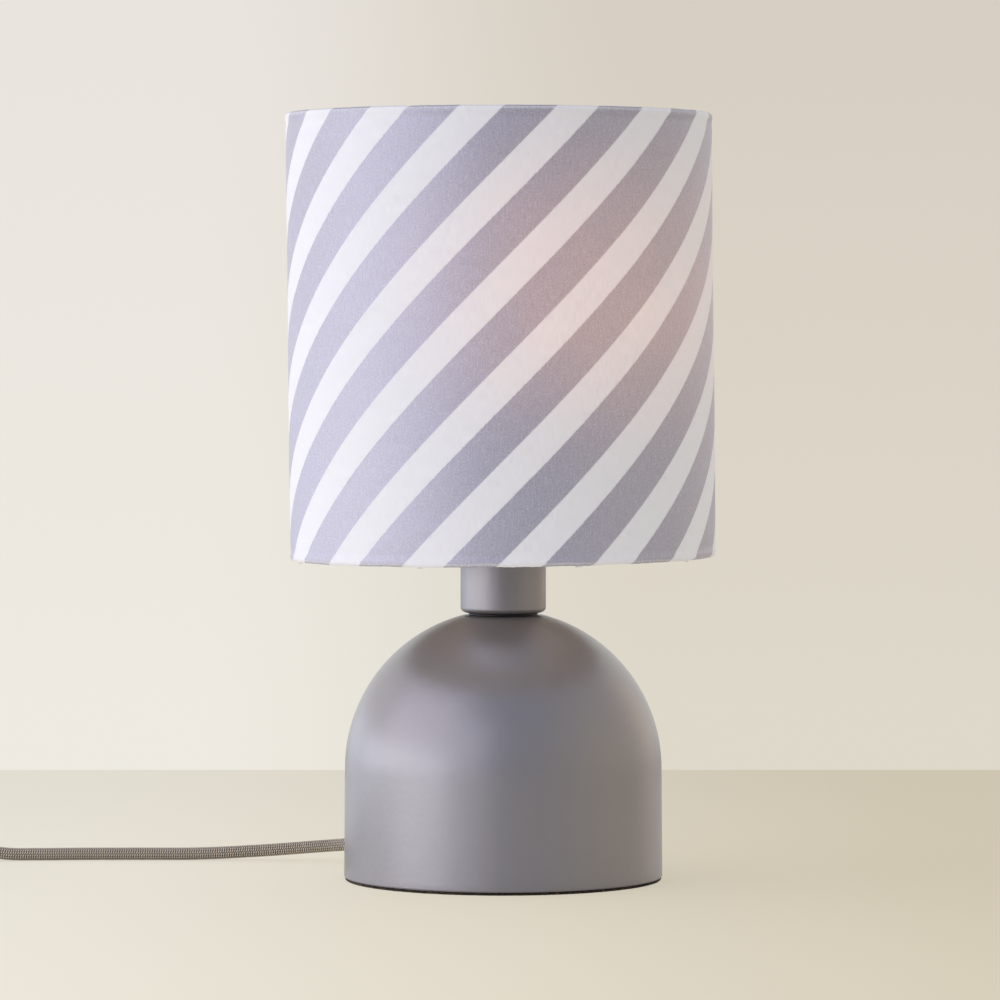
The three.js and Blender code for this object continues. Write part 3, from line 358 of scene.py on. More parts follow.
# Plain-woven cotton, matt where it is white, with stripes printed in a silky pearl-grey ink that
# catches the light from one side, and a painted glow where the lamp inside shines through. Its UV
# map
# "cloth" is in metres on the flat cloth: U round the shade from the middle of the front, V the
# height above the table. The map "edges" has the way to the upper edge and to the lower one.
def printedCotton():
    look = {
        "white": "#e6e5e6", "grey": "#cbc8d4", "pearl": 0.5, "roughWhite": 0.9, "roughGrey": 0.47,
        # degrees, and mm across the stripes
        "angle": 44.74, "period": 32.11, "whiteWidth": 14.72, "shift": 0.03,
        "softEdge": 0.35, "ragged": 0.3,
        # mm; the real thread of 0.45 is finer than a pixel, so it is drawn coarser
        "thread": 1.0, "slub": 5.0, "weaveDepth": 0.1, "tone": (0.94, 1.06),
        "heather": (0.62, 0.95), "heatherSpread": 0.36,
        "nep": 0.85, "nepRange": (0.6, 0.71), "nepWhite": 0.7,
        # mm below the edge, for the painted shadow along the fold and for the crease, where the
        # print is
        # paler: partly wear, partly a painted highlight
        "foldDepth": 0.6, "foldShade": 0.66,
        "creaseAt": 1.0, "creaseHalf": 0.55, "creaseWearAndHighlight": -0.65, "creaseNeps": 0.1,
        # metres, to the right of the axis and up
        "glowAt": (0.036, 0.281), "glowReach": (0.115, 0.108),
        "glow": "#6b3809", "glowOnGrey": "#70492c", "through": "#8a8a8a", "throughGrey": "#404046",
        "blotch": 42, "uneven": (0.8, 1.2),  # mm, and the least and most
    }
    material, tree, spot = newTree("printedCottonWeave")
    cloth = addNode(tree, "UVMap", {}, uv_map="cloth")
    # threads run up and across, each a little thicker or thinner along its length
    fine, long = 1000 / look["thread"], 1000 / look["slub"]
    warpPlace = addNode(tree, "Mapping", {"Vector": cloth, "Scale": (fine, long, 1)})
    weftPlace = addNode(tree, "Mapping", {"Vector": cloth, "Scale": (long, fine, 1)})
    warp = addNode(tree, "TexNoise", {"Vector": warpPlace, "Scale": 1.0, "Detail": 3.0})
    weft = addNode(tree, "TexNoise", {"Vector": weftPlace, "Scale": 1.0, "Detail": 3.0})
    weave = addNode(tree, "Math", {0: warp, 1: weft}, operation="ADD")
    # the stripes rise to the right
    part = addNode(tree, "SeparateXYZ", {0: cloth})
    angle, period = math.radians(look["angle"]), look["period"]
    climb = addNode(
        tree,
        "Math",
        {0: part.outputs["Y"], 1: 1000 * math.cos(angle) / period, 2: -look["shift"] / period},
        operation="MULTIPLY_ADD",
    )
    across = addNode(
        tree,
        "Math",
        {0: part.outputs["X"], 1: -1000 * math.sin(angle) / period, 2: climb},
        operation="MULTIPLY_ADD",
    )
    ragged = addNode(
        tree, "Math", {0: weave, 1: look["ragged"] / period, 2: across}, operation="MULTIPLY_ADD"
    )
    half = look["whiteWidth"] / period / 2
    centred = addNode(
        tree, "Math", {0: ragged, 1: 0.5 - half - look["ragged"] / period}, operation="ADD"
    )
    turn = addNode(tree, "Math", {0: centred}, operation="FRACT")
    offset = addNode(tree, "Math", {0: turn, 1: 0.5}, operation="SUBTRACT")
    fromMiddle = addNode(tree, "Math", {0: offset}, operation="ABSOLUTE")
    soft = look["softEdge"] / period
    printed = addNode(
        tree,
        "MapRange",
        {"Value": fromMiddle, "From Min": half - soft, "From Max": half + soft},
        interpolation_type="SMOOTHSTEP",
    )
    # along a crease near each edge, where the cloth is pulled over the hoops, the grey print is
    # paler:
    # partly wear, partly a painted highlight
    edges = addNode(tree, "SeparateXYZ", {0: addNode(tree, "UVMap", {}, uv_map="edges")})
    toEdge = addNode(
        tree, "Math", {0: edges.outputs["X"], 1: edges.outputs["Y"]}, operation="MINIMUM"
    )
    pastCrease = addNode(
        tree, "Math", {0: toEdge, 1: look["creaseAt"] / 1000}, operation="SUBTRACT"
    )
    creaseGap = addNode(tree, "Math", {0: pastCrease}, operation="ABSOLUTE")
    creaseHalf = look["creaseHalf"] / 1000
    wearAndHighlight = addNode(
        tree,
        "MapRange",
        {
            "Value": creaseGap, "From Min": creaseHalf / 2, "From Max": creaseHalf * 5 / 3,
            "To Min": 1.0, "To Max": 0.0,
        },
    )
    # the grey is a heather of dark and light fibres, with a few white neps
    grain = (1000 / look["heather"][0], 1000 / look["heather"][1], 1)
    heatherPlace = addNode(tree, "Mapping", {"Vector": cloth, "Scale": grain})
    heather = addNode(tree, "TexNoise", {"Vector": heatherPlace, "Scale": 1.0, "Detail": 2.0})
    coverage = addNode(
        tree,
        "MapRange",
        {
            "Value": heather, "From Min": 0.3, "From Max": 0.7,
            "To Min": 1 + look["heatherSpread"], "To Max": 1 - look["heatherSpread"],
        },
    )
    fleck = addNode(tree, "TexNoise", {"Vector": cloth, "Scale": 1000 / look["nep"], "Detail": 1.0})
    nepsAndCrease = addNode(
        tree, "Math", {0: wearAndHighlight, 1: look["creaseNeps"], 2: fleck}, operation="MULTIPLY_ADD"
    )
    bare = addNode(
        tree,
        "MapRange",
        {
            "Value": nepsAndCrease, "From Min": look["nepRange"][0], "From Max": look["nepRange"][1],
            "To Max": look["nepWhite"],
        },
    )
    left = addNode(tree, "Math", {0: coverage, 1: bare}, operation="SUBTRACT")
    kept = addNode(
        tree, "Math", {0: wearAndHighlight, 1: look["creaseWearAndHighlight"], 2: left}, operation="MULTIPLY_ADD"
    )
    ink = addNode(tree, "Math", {0: printed, 1: kept}, operation="MULTIPLY")
    dyed = addNode(
        tree,
        "Mix",
        {0: ink, 6: linear(look["white"]), 7: linear(look["grey"])},
        data_type="RGBA",
        clamp_factor=False,
    )
    tone = addNode(
        tree,
        "MapRange",
        {
            "Value": warp, "From Min": 0.3, "From Max": 0.7, "To Min": look["tone"][0],
            "To Max": look["tone"][1],
        },
    )
    # painted shadow: the cloth is darker just below its upper edge, along the fold
    foldShadow = addNode(
        tree,
        "MapRange",
        {
            "Value": edges.outputs["X"], "From Min": look["foldDepth"] / 2000,
            "From Max": look["foldDepth"] / 1000,
            "To Min": look["foldShade"], "To Max": 1.0,
        },
    )
    toned = addNode(tree, "Math", {0: tone, 1: foldShadow}, operation="MULTIPLY")
    colour = addNode(
        tree, "Mix", {0: 1.0, 6: dyed, 7: toned}, data_type="RGBA", blend_type="MULTIPLY",
        clamp_result=True,
    )
    # painted glow for the lamp shining through: the cloth emits light faintly everywhere, more on
    # the white, and warm in a patch right of the axis at the height of its globe
    (right, up), (rightReach, upReach) = look["glowAt"], look["glowReach"]
    patchPlace = addNode(
        tree,
        "Mapping",
        {
            "Vector": spot,
            "Location": (-right / rightReach, 0, -up / upReach),
            "Scale": (1 / rightReach, 0, 1 / upReach),
        },
    )
    away = addNode(tree, "VectorMath", {0: patchPlace}, operation="LENGTH").outputs["Value"]
    patch = addNode(
        tree, "MapRange", {"Value": away, "To Min": 1.0, "To Max": 0.0},
        interpolation_type="SMOOTHERSTEP",
    )
    blotch = addNode(
        tree, "TexNoise", {"Vector": spot, "Scale": 1000 / look["blotch"], "Detail": 2.0}
    )
    uneven = addNode(
        tree,
        "MapRange",
        {
            "Value": blotch, "From Min": 0.3, "From Max": 0.7, "To Min": look["uneven"][0],
            "To Max": look["uneven"][1],
        },
    )
    strength = addNode(tree, "Math", {0: patch, 1: uneven}, operation="MULTIPLY")
    through = addNode(
        tree, "Mix", {0: printed, 6: linear(look["through"]), 7: linear(look["throughGrey"])},
        data_type="RGBA",
    )
    warm = addNode(
        tree, "Mix", {0: printed, 6: linear(look["glow"]), 7: linear(look["glowOnGrey"])},
        data_type="RGBA",
    )
    shining = addNode(
        tree, "Mix", {0: strength, 6: through, 7: warm}, data_type="RGBA", blend_type="ADD"
    )
    lit = addNode(
        tree, "Mix", {0: 1.0, 6: shining, 7: tone}, data_type="RGBA", blend_type="MULTIPLY"
    )
    pearly = addNode(tree, "MapRange", {"Value": ink, "To Max": look["pearl"]})
    gloss = addNode(
        tree, "MapRange", {"Value": ink, "To Min": look["roughWhite"], "To Max": look["roughGrey"]}
    )
    bump = addNode(
        tree, "Bump", {"Height": weave, "Strength": 0.3, "Distance": look["weaveDepth"] / 1000}
    )
    shader = addNode(
        tree,
        "BsdfPrincipled",
        {
            "Base Color": colour, "Metallic": pearly, "Roughness": gloss, "Normal": bump,
            "IOR": 1.45, "Specular IOR Level": 0.25, "Sheen Weight": 0.15, "Sheen Roughness": 0.45,
            "Emission Color": lit, "Emission Strength": 1.0,
        },
    )
    addNode(tree, "OutputMaterial", {"Surface": shader})
    return material


# Calendered styrene film behind the cotton: milky, streaked by the roller, with a painted glow in a
# band at the height of the lamp.
def styreneFilm():
    look = {
        "colour": "#f4efe5", "streak": "#ebe5d9", "streakWide": 3, "streakLong": 60,  # mm
        "glow": "#332920", "glowHeight": 0.272, "glowReach": 0.13,  # metres
    }
    material, tree, spot = newTree("calenderedStyreneFilm")
    wide, long = 1000 / look["streakWide"], 1000 / look["streakLong"]
    rolled = addNode(tree, "Mapping", {"Vector": spot, "Scale": (wide, wide, long)})
    streak = addNode(tree, "TexNoise", {"Vector": rolled, "Scale": 1.0, "Detail": 3.0})
    tint = addNode(
        tree, "Mix", {0: streak, 6: linear(look["streak"]), 7: linear(look["colour"])},
        data_type="RGBA",
    )
    # painted glow: the film emits warm light in a band round the height of the lamp
    height = addNode(tree, "SeparateXYZ", {0: spot}).outputs["Z"]
    above = addNode(tree, "Math", {0: height, 1: look["glowHeight"]}, operation="SUBTRACT")
    away = addNode(tree, "Math", {0: above}, operation="ABSOLUTE")
    band = addNode(
        tree,
        "MapRange",
        {"Value": away, "From Max": look["glowReach"], "To Min": 1.0, "To Max": 0.0},
        interpolation_type="SMOOTHERSTEP",
    )
    glow = addNode(
        tree, "Mix", {0: band, 6: linear("#000000"), 7: linear(look["glow"])}, data_type="RGBA"
    )
    bump = addNode(tree, "Bump", {"Height": streak, "Strength": 0.2, "Distance": 0.00005})
    shader = addNode(
        tree,
        "BsdfPrincipled",
        {
            "Base Color": tint, "Roughness": 0.55, "IOR": 1.57, "Emission Color": glow,
            "Emission Strength": 1.0, "Normal": bump,
        },
    )
    addNode(tree, "OutputMaterial", {"Surface": shader})
    return material


braidLook = {
    "rows": 14, "plait": 1.15, "lean": 0.42, "stagger": 0.2, "stroke": 1.2, "arch": 0.6,
    "height": 0.2, "girth": 18.85, "fibre": 0.25, "fibreLong": 1.2,  # mm
    "thread": "#fdeed4", "shadow": "#30271d", "soil": 60.0,
}


# How far a plait stands up, from 0 to 1, at a length in millimetres and a part of a turn.
def plaitHeight(along, turn):
    row = turn * braidLook["rows"]
    inRow = row % 1
    stagger = braidLook["stagger"] * (int(row) % 2)
    phase = along / braidLook["plait"] - braidLook["lean"] * inRow + stagger
    stroke = 0.5 + 0.5 * math.cos(math.tau * phase)
    return stroke ** braidLook["stroke"] * math.sin(math.pi * inRow) ** braidLook["arch"]


# Rayon yarn braided over the flex: rows of slanted plaits, with painted light on their tops and
# painted shade in the gaps between.
# The same plaits are in the mesh of the visible flex.
def textileBraid():
    look = braidLook
    material, tree, spot = newTree("braidedRayonSleeve")
    cord = addNode(tree, "UVMap", {}, uv_map="alongCord")
    part = addNode(tree, "SeparateXYZ", {0: cord})
    row = addNode(tree, "Math", {0: part.outputs["Y"], 1: look["rows"]}, operation="MULTIPLY")
    inRow = addNode(tree, "Math", {0: row}, operation="FRACT")
    whole = addNode(tree, "Math", {0: row}, operation="FLOOR")
    odd = addNode(tree, "Math", {0: whole, 1: 2.0}, operation="MODULO")
    stagger = addNode(tree, "Math", {0: odd, 1: look["stagger"]}, operation="MULTIPLY")
    slant = addNode(
        tree, "Math", {0: inRow, 1: -look["lean"], 2: stagger}, operation="MULTIPLY_ADD"
    )
    phase = addNode(
        tree, "Math", {0: part.outputs["X"], 1: 1000 / look["plait"], 2: slant},
        operation="MULTIPLY_ADD",
    )
    swing = addNode(tree, "Math", {0: phase, 1: math.tau}, operation="MULTIPLY")
    wave = addNode(tree, "Math", {0: swing}, operation="COSINE")
    stroke = addNode(tree, "Math", {0: wave, 1: 0.5, 2: 0.5}, operation="MULTIPLY_ADD")
    plump = addNode(tree, "Math", {0: stroke, 1: look["stroke"]}, operation="POWER")
    halfTurn = addNode(tree, "Math", {0: inRow, 1: math.pi}, operation="MULTIPLY")
    arch = addNode(tree, "Math", {0: halfTurn}, operation="SINE")
    hump = addNode(tree, "Math", {0: arch, 1: look["arch"]}, operation="POWER")
    raised = addNode(tree, "Math", {0: plump, 1: hump}, operation="MULTIPLY")
    fibres = (1000 / look["fibreLong"], look["girth"] / look["fibre"], 1)
    fibrePlace = addNode(tree, "Mapping", {"Vector": cord, "Scale": fibres})
    fibre = addNode(tree, "TexNoise", {"Vector": fibrePlace, "Scale": 1.0, "Detail": 3.0})
    frayed = addNode(tree, "Math", {0: fibre, 1: 0.5, 2: -0.25}, operation="MULTIPLY_ADD")
    # painted light and shade: the colour runs from the shadow in the gaps to the pale thread on the
    # plaits' tops
    lit = addNode(tree, "Math", {0: raised, 1: 1.6, 2: frayed}, operation="MULTIPLY_ADD")
    tint = addNode(
        tree, "Mix", {0: lit, 6: linear(look["shadow"]), 7: linear(look["thread"])},
        data_type="RGBA",
    )
    soiled = addNode(tree, "TexNoise", {"Vector": spot, "Scale": look["soil"], "Detail": 2.0})
    aged = addNode(tree, "MapRange", {"Value": soiled, "To Min": 0.86, "To Max": 1.1})
    colour = addNode(
        tree, "Mix", {0: 1.0, 6: tint, 7: aged}, data_type="RGBA", blend_type="MULTIPLY"
    )
    bump = addNode(tree, "Bump", {"Height": raised, "Strength": 0.8, "Distance": 0.0003})
    shader = addNode(
        tree,
        "BsdfPrincipled",
        {
            "Base Color": colour, "Roughness": 0.75, "IOR": 1.45, "Normal": bump,
            "Sheen Weight": 0.2, "Sheen Roughness": 0.4,
        },
    )
    addNode(tree, "OutputMaterial", {"Surface": shader})
    return material


# Needled wool felt: matt and fibrous, nearly black, with a few paler hairs.
def needledFelt():
    look = {"colour": "#171413", "hair": "#8f6f50", "fibre": 0.9}
    material, tree, spot = newTree("needledWoolFelt")
    fibre = addNode(
        tree, "TexNoise",
        {"Vector": spot, "Scale": 1000 / look["fibre"], "Detail": 5.0, "Distortion": 1.6},
    )
    hairs = addNode(tree, "MapRange", {"Value": fibre, "From Min": 0.53, "From Max": 0.66})
    tint = addNode(
        tree, "Mix", {0: hairs, 6: linear(look["colour"]), 7: linear(look["hair"])},
        data_type="RGBA",
    )
    bump = addNode(tree, "Bump", {"Height": fibre, "Strength": 0.9, "Distance": 0.0003})
    shader = addNode(
        tree,
        "BsdfPrincipled",
        {
            "Base Color": tint, "Roughness": 0.95, "Sheen Weight": 0.15, "Sheen Roughness": 0.5,
            "Normal": bump,
        },
    )
    addNode(tree, "OutputMaterial", {"Surface": shader})
    return material


# Hook-and-loop strap of woven nylon: a close grid of dull black loops, with painted shade where
# they meet.
def wovenStrap():
    look = {"colour": "#262426", "gap": "#101010", "loop": 0.9}
    material, tree, spot = newTree("wovenNylonStrap")
    loops = addNode(
        tree, "TexVoronoi", {"Vector": spot, "Scale": 1000 / look["loop"], "Randomness": 0.45}
    )
    # painted shade: darker towards the edges of each loop, where they meet
    tint = addNode(
        tree, "Mix", {0: loops, 6: linear(look["colour"]), 7: linear(look["gap"])}, data_type="RGBA"
    )
    bump = addNode(
        tree, "Bump", {"Height": loops, "Strength": 0.8, "Distance": 0.0003}, invert=True
    )
    shader = addNode(
        tree, "BsdfPrincipled",
        {"Base Color": tint, "Roughness": 0.85, "Sheen Weight": 0.3, "Normal": bump},
    )
    addNode(tree, "OutputMaterial", {"Surface": shader})
    return material


# Opal polycarbonate, blow-moulded, with the lamp lit: warm, brightest over the top of the globe.
def opalGlobe():
    look = {
        "colour": "#fbf3e4", "warm": "#ffdcae", "rim": "#ffca8c", "strength": 0.45,
        "from": 0.246, "to": 0.285, "cloud": 9,
    }
    material, tree, spot = newTree("opalPolycarbonate")
    height = addNode(tree, "SeparateXYZ", {0: spot}).outputs["Z"]
    rise = addNode(
        tree,
        "MapRange",
        {
            "Value": height, "From Min": look["from"], "From Max": look["to"], "To Min": -0.1,
            "To Max": 0.9,
        },
    )
    cloud = addNode(
        tree, "TexNoise", {"Vector": spot, "Scale": 1000 / look["cloud"], "Detail": 3.0}
    )
    mixed = addNode(tree, "Math", {0: cloud, 1: 0.2, 2: rise}, operation="MULTIPLY_ADD")
    glow = addNode(
        tree, "Mix", {0: mixed, 6: linear(look["rim"]), 7: linear(look["warm"])}, data_type="RGBA"
    )
    bump = addNode(tree, "Bump", {"Height": cloud, "Strength": 0.1, "Distance": 0.00005})
    shader = addNode(
        tree,
        "BsdfPrincipled",
        {
            "Base Color": linear(look["colour"]), "Roughness": 0.4, "IOR": 1.58, "Normal": bump,
            "Emission Color": glow, "Emission Strength": look["strength"],
        },
    )
    addNode(tree, "OutputMaterial", {"Surface": shader})
    return material


paint = satinPaint()
cotton = printedCotton()
film = styreneFilm()
braid = textileBraid()
felt = needledFelt()
strap = wovenStrap()
opal = opalGlobe()
# pressed or turned steel with bright zinc plating: a cool clouded shine
zinc = workedMetal("zincPlatedSteel", "#bcbdba", "#9c9d9b", 0.34)
# iron cast in sand and left raw: dark, dull and pitted
iron = workedMetal("sandCastIron", "#4a4745", "#2e2c2b", 0.68, lines=1.6, depth=0.12)
# drawn and turned brass: yellow, with fine tool lines
brass = workedMetal("turnedBrass", "#c9a566", "#a98549", 0.3)
# thin brass sheet, rolled to a thread and nickelled: pale and smooth
nickel = workedMetal("nickelledBrassSheet", "#c3c2bd", "#a5a49f", 0.26)
# baked powder coat on wire: off-white with a slight pebble
wire = mouldedPlastic("whitePowderCoat", "#ebe9e4", "#e2dfd9", 0.42, grain=0.6, depth=0.03)
# glass-filled nylon: black, half matt
blackNylon = mouldedPlastic("blackMouldedNylon", "#262627", "#1c1c1d", 0.47)
# nylon coloured through: warm grey, half matt
greyNylon = mouldedPlastic("greyMouldedNylon", "#5c5855", "#524f4c", 0.5)
# polycarbonate from a polished mould: white, with a soft gloss
whiteShell = mouldedPlastic(
    "whiteMouldedPolycarbonate", "#efede8", "#e6e3dd", 0.38, grain=0.5, depth=0.01
)
# screen-printed solder resist: flat white, slightly uneven
resist = mouldedPlastic("whiteSolderResist", "#e6e7e3", "#d8d9d4", 0.45)
# pressed steatite, fired without a glaze: cream, dry and finely grained
steatite = mouldedPlastic("unglazedSteatite", "#e6e2d8", "#d6d1c6", 0.7, grain=0.25, depth=0.03)
# extruded PVC over copper strand: one even colour, waxy
brownSleeve = mouldedPlastic("brownExtrudedPvc", "#6f4830", "#5d3b27", 0.5)
blueSleeve = mouldedPlastic("blueExtrudedPvc", "#4069a5", "#33568c", 0.5)
print("materials made")

flex = {
    "radius": 3.0, "plump": 0.1, "step": 1.4, "fineStep": 0.26,
    # out of the back left of the foot, in degrees from +X, and straight at first
    "degrees": 135, "start": 96.2865, "startHeight": 9.5, "straight": 6,
}
diagonal = math.sqrt(0.5)
exitPoint = (-flex["start"] * diagonal, flex["start"] * diagonal, flex["startHeight"])
straightTo = flex["start"] + flex["straight"]
# points on the flex's middle line
toSwitch = [
    exitPoint,
    (-straightTo * diagonal, straightTo * diagonal, 9.4),
    (-76.8, 75.8, 8.8), (-83, 80.6, 7.9), (-91, 84.2, 7), (-101, 86.6, 6), (-113, 87.8, 5),
    (-126, 88, 4.2), (-140, 87.6, 3.5), (-155, 87.2, 3.1), (-172, 87, 3.1), (-190, 87, 3.1),
    (-210, 86.4, 3.1), (-230, 84.9, 3.1), (-244, 84.2, 3.3), (-255, 84.8, 4.7), (-264, 86.4, 6.4),
    (-270, 87, 7), (-275.7, 87, 7),
]
toCoil = [
    (-332.3, 87, 7), (-337, 87, 7), (-344, 85.6, 6.6), (-352, 81.2, 6), (-359, 74.4, 5.4),
    (-363.8, 66, 4.9), (-365.8, 57, 4.6), (-366, 47, 4.4), (-366, 36, 4.3), (-366, 25, 4.3),
    (-366, 14, 4.3), (-366, 7, 4.3), (-366, 1.3, 4.3),
]
coil = {"centre": (-321, -5), "outer": 45, "pitch": 6.6, "turns": 6, "lower": 4.3, "steps": 36}
toPlug = [
    (-366, -11, 10.9), (-366, -19, 10.3), (-366, -29, 8.9), (-366, -39.7, 8), (-366, -45.7, 8)
]


# in along the lower layer, up in the half turn where the spiral reverses, and out over it
def coilPoint(turns):
    angle = math.pi + math.tau * turns
    radius = coil["outer"] - coil["pitch"] * (coil["turns"] / 2 - abs(turns - coil["turns"] / 2))
    climb = min(max(2 * (turns - coil["turns"] / 2) + 0.5, 0), 1)
    return (
        coil["centre"][0] + radius * math.cos(angle),
        coil["centre"][1] + radius * math.sin(angle),
        coil["lower"] + coil["pitch"] * climb,
    )


# The plaits stand up on the flex that is seen; on the stored length the material alone draws them.
def flexPieces():
    outer = flex["radius"] + flex["plump"]
    woven = lambda along, turn: outer - braidLook["height"] * (1 - plaitHeight(along, turn))
    seen = tube(smoothLine(toSwitch, flex["fineStep"]), woven, sides=4 * braidLook["rows"])
    first = makePiece(
        seen, "flex_to_switch", braid, "lamp", ["cord_lamp_to_switch"], sharpFrom=80
    )
    turns = [coilPoint(i / coil["steps"]) for i in range(coil["turns"] * coil["steps"] + 1)]
    stored = smoothLine(toCoil + turns + toPlug, flex["step"])
    bm = tube(stored, lambda along, turn: flex["radius"], sides=18)
    nodes = ["cord_switch_to_coil", "cord_coil"]
    second = makePiece(bm, "flex_to_plug", braid, "lamp", nodes, sharpFrom=60)
    return (first, smoothLine(toSwitch, flex["step"])), (second, stored)


(flexOne, lineOne), (flexTwo, lineTwo) = flexPieces()
print("flex made,", round(lineLength(lineOne)), "and", round(lineLength(lineTwo)), "mm long")


# The pad is pressed thinner under the rim of the dome, and frays a little there.
def feltPad():
    pad = {
        "radius": 75.4, "thickness": 1.5, "pressed": 1.15, "plain": 60, "sides": 480,
        "frayFrom": 74, "fray": 0.6, "frayBack": 0.3, "fuzz": 0.3, "fuzzTop": 0.1,
        "tuft": (1.1, 1.1, 2),
    }
    edge, pressed, thick, plain = pad["radius"], pad["pressed"], pad["thickness"], pad["plain"]
    bm = lathe(
        [(0, 0), (plain, 0), (edge - 0.3, 0), (edge, 0.35), (edge, 0.75), (edge - 0.2, pressed),
         (edge - 1.8, pressed), (edge - 3.4, thick), (plain, thick), (0, thick)],
        pad["sides"],
    )
    for vert in bm.verts:
        reach = vert.co.xy.length
        if reach > pad["frayFrom"]:
            rough = noise.noise(Vector([c * often for c, often in zip(vert.co, pad["tuft"])]))
            vert.co.xy *= 1 + pad["fray"] * (rough - pad["frayBack"]) / reach
            if vert.co.z > 0.2:
                vert.co.z = min(vert.co.z + pad["fuzz"] * rough, pressed + pad["fuzzTop"])
    return makePiece(bm, "felt_pad_disc", felt, "lamp", ["felt_pad"])


# The dome is spun in one piece, rolled in at the rim, with a hole at the back for the flex.
def domeShell():
    dome = {
        "radius": 75.5, "skirt": 75.9, "wall": 1.5, "centre": 52.982, "top": 126.0, "bottom": 1.35,
        "rollAcross": 0.55, "rollHigh": 0.85, "tubeHole": 5.2, "sides": 192,
        "holeRadius": 4.6, "holeHeight": 9.5, "holeRows": (4.9, 14.1), "skirtFrom": 3,
        "rows": (4.9, 7.2, 9.5, 11.8, 14.1, 18, 24, 31, 38, 46), "outside": 70,
    }
    radius, wall = dome["radius"], dome["wall"]
    inner = radius - wall
    upTo = math.asin((dome["top"] - dome["centre"]) / radius)
    innerTo = math.asin((dome["top"] - wall - dome["centre"]) / inner)
    skirtHeight = dome["centre"] - dome["skirtFrom"]
    lean = lambda z: radius + (dome["skirt"] - radius) * (1 - (z - dome["skirtFrom"]) / skirtHeight)
    rollX, rollZ = dome["skirt"] - dome["rollAcross"], dome["bottom"] + dome["rollHigh"]
    profile = (
        [(dome["skirt"] - wall + 0.1, dome["bottom"] + 0.2), (rollX - 0.4, dome["bottom"])]
        + arcPoints((rollX, rollZ), dome["rollAcross"], dome["rollHigh"], -math.pi / 2, 0, steps=5)
        + [(lean(z), z) for z in dome["rows"]]
        + arcPoints((0, dome["centre"]), radius, radius, 0, upTo, steps=40)
        + [(dome["tubeHole"], dome["top"]), (dome["tubeHole"], dome["top"] - wall)]
        + arcPoints((0, dome["centre"]), inner, inner, innerTo, 0, steps=24)
        + [(lean(z) - wall, z) for z in reversed(dome["rows"])]
    )
    bm = lathe(profile, dome["sides"], closed=True)
    # the spin is turned so that one of its seams lies on the hole's axis
    aim, faceAngle = math.radians(flex["degrees"]), math.tau / dome["sides"]
    place(bm, Matrix.Rotation(aim - round(aim / faceAngle) * faceAngle, 4, "Z"))

    def offAxis(co):
        return (math.atan2(co.y, co.x) - aim + math.pi) % math.tau - math.pi

    # four by four faces on each wall are opened, and their edge is drawn to a circle
    low, high = dome["holeRows"]
    opened = []
    for face in bm.faces:
        middle = face.calc_center_median()
        near = abs(offAxis(middle)) < 2 * faceAngle and middle.xy.length > dome["outside"]
        if near and low < middle.z < high:
            opened.append(face)
    rim = {v for f in opened for v in f.verts}
    bmesh.ops.delete(bm, geom=opened, context="FACES_ONLY")
    bmesh.ops.delete(bm, geom=[e for e in bm.edges if not e.link_faces], context="EDGES")
    bmesh.ops.delete(bm, geom=[v for v in bm.verts if not v.link_edges], context="VERTS")
    for vert in bm.verts:
        if vert in rim:
            reach = vert.co.xy.length
            across, up = offAxis(vert.co) * reach, vert.co.z - dome["holeHeight"]
            grow = dome["holeRadius"] / math.hypot(across, up)
            spin = aim + across * grow / reach
            vert.co = (
                reach * math.cos(spin), reach * math.sin(spin), dome["holeHeight"] + up * grow
            )
    bmesh.ops.bridge_loops(bm, edges=[e for e in bm.edges if e.is_boundary])
    bmesh.ops.recalc_face_normals(bm, faces=bm.faces)
    return makePiece(bm, "dome_shell", paint, "lamp", ["base_shell"], sharpFrom=50)


def neckCup():
    cup = {
        "radius": 20.35, "wall": 1.0, "bottom": 127.2, "top": 187.2, "hole": 5.2, "sides": 128,
        "roundAcross": 3.4, "roundHigh": 2.6, "lip": 0.5, "rows": (140, 155, 170),
    }
    across, high, wall, lip = cup["roundAcross"], cup["roundHigh"], cup["wall"], cup["lip"]
    flat, middle = cup["radius"] - across, cup["bottom"] + high
    bore = cup["radius"] - wall
    profile = (
        [(cup["hole"], cup["bottom"])]
        + arcPoints((flat, middle), across, high, -math.pi / 2, 0, steps=12)
        + [(cup["radius"], z) for z in cup["rows"]]
        + arcPoints((cup["radius"] - lip, cup["top"] - lip), lip, lip, 0, math.pi, steps=6)
        + [(bore, z) for z in reversed(cup["rows"])]
        + arcPoints((flat, middle), across - wall, high - wall, 0, -math.pi / 2, steps=6)
        + [(cup["hole"], cup["bottom"] + wall)]
    )
    bm = lathe(profile, cup["sides"], closed=True)
    return makePiece(bm, "neck_cup", paint, "lamp", ["socket_cup"], sharpFrom=50)


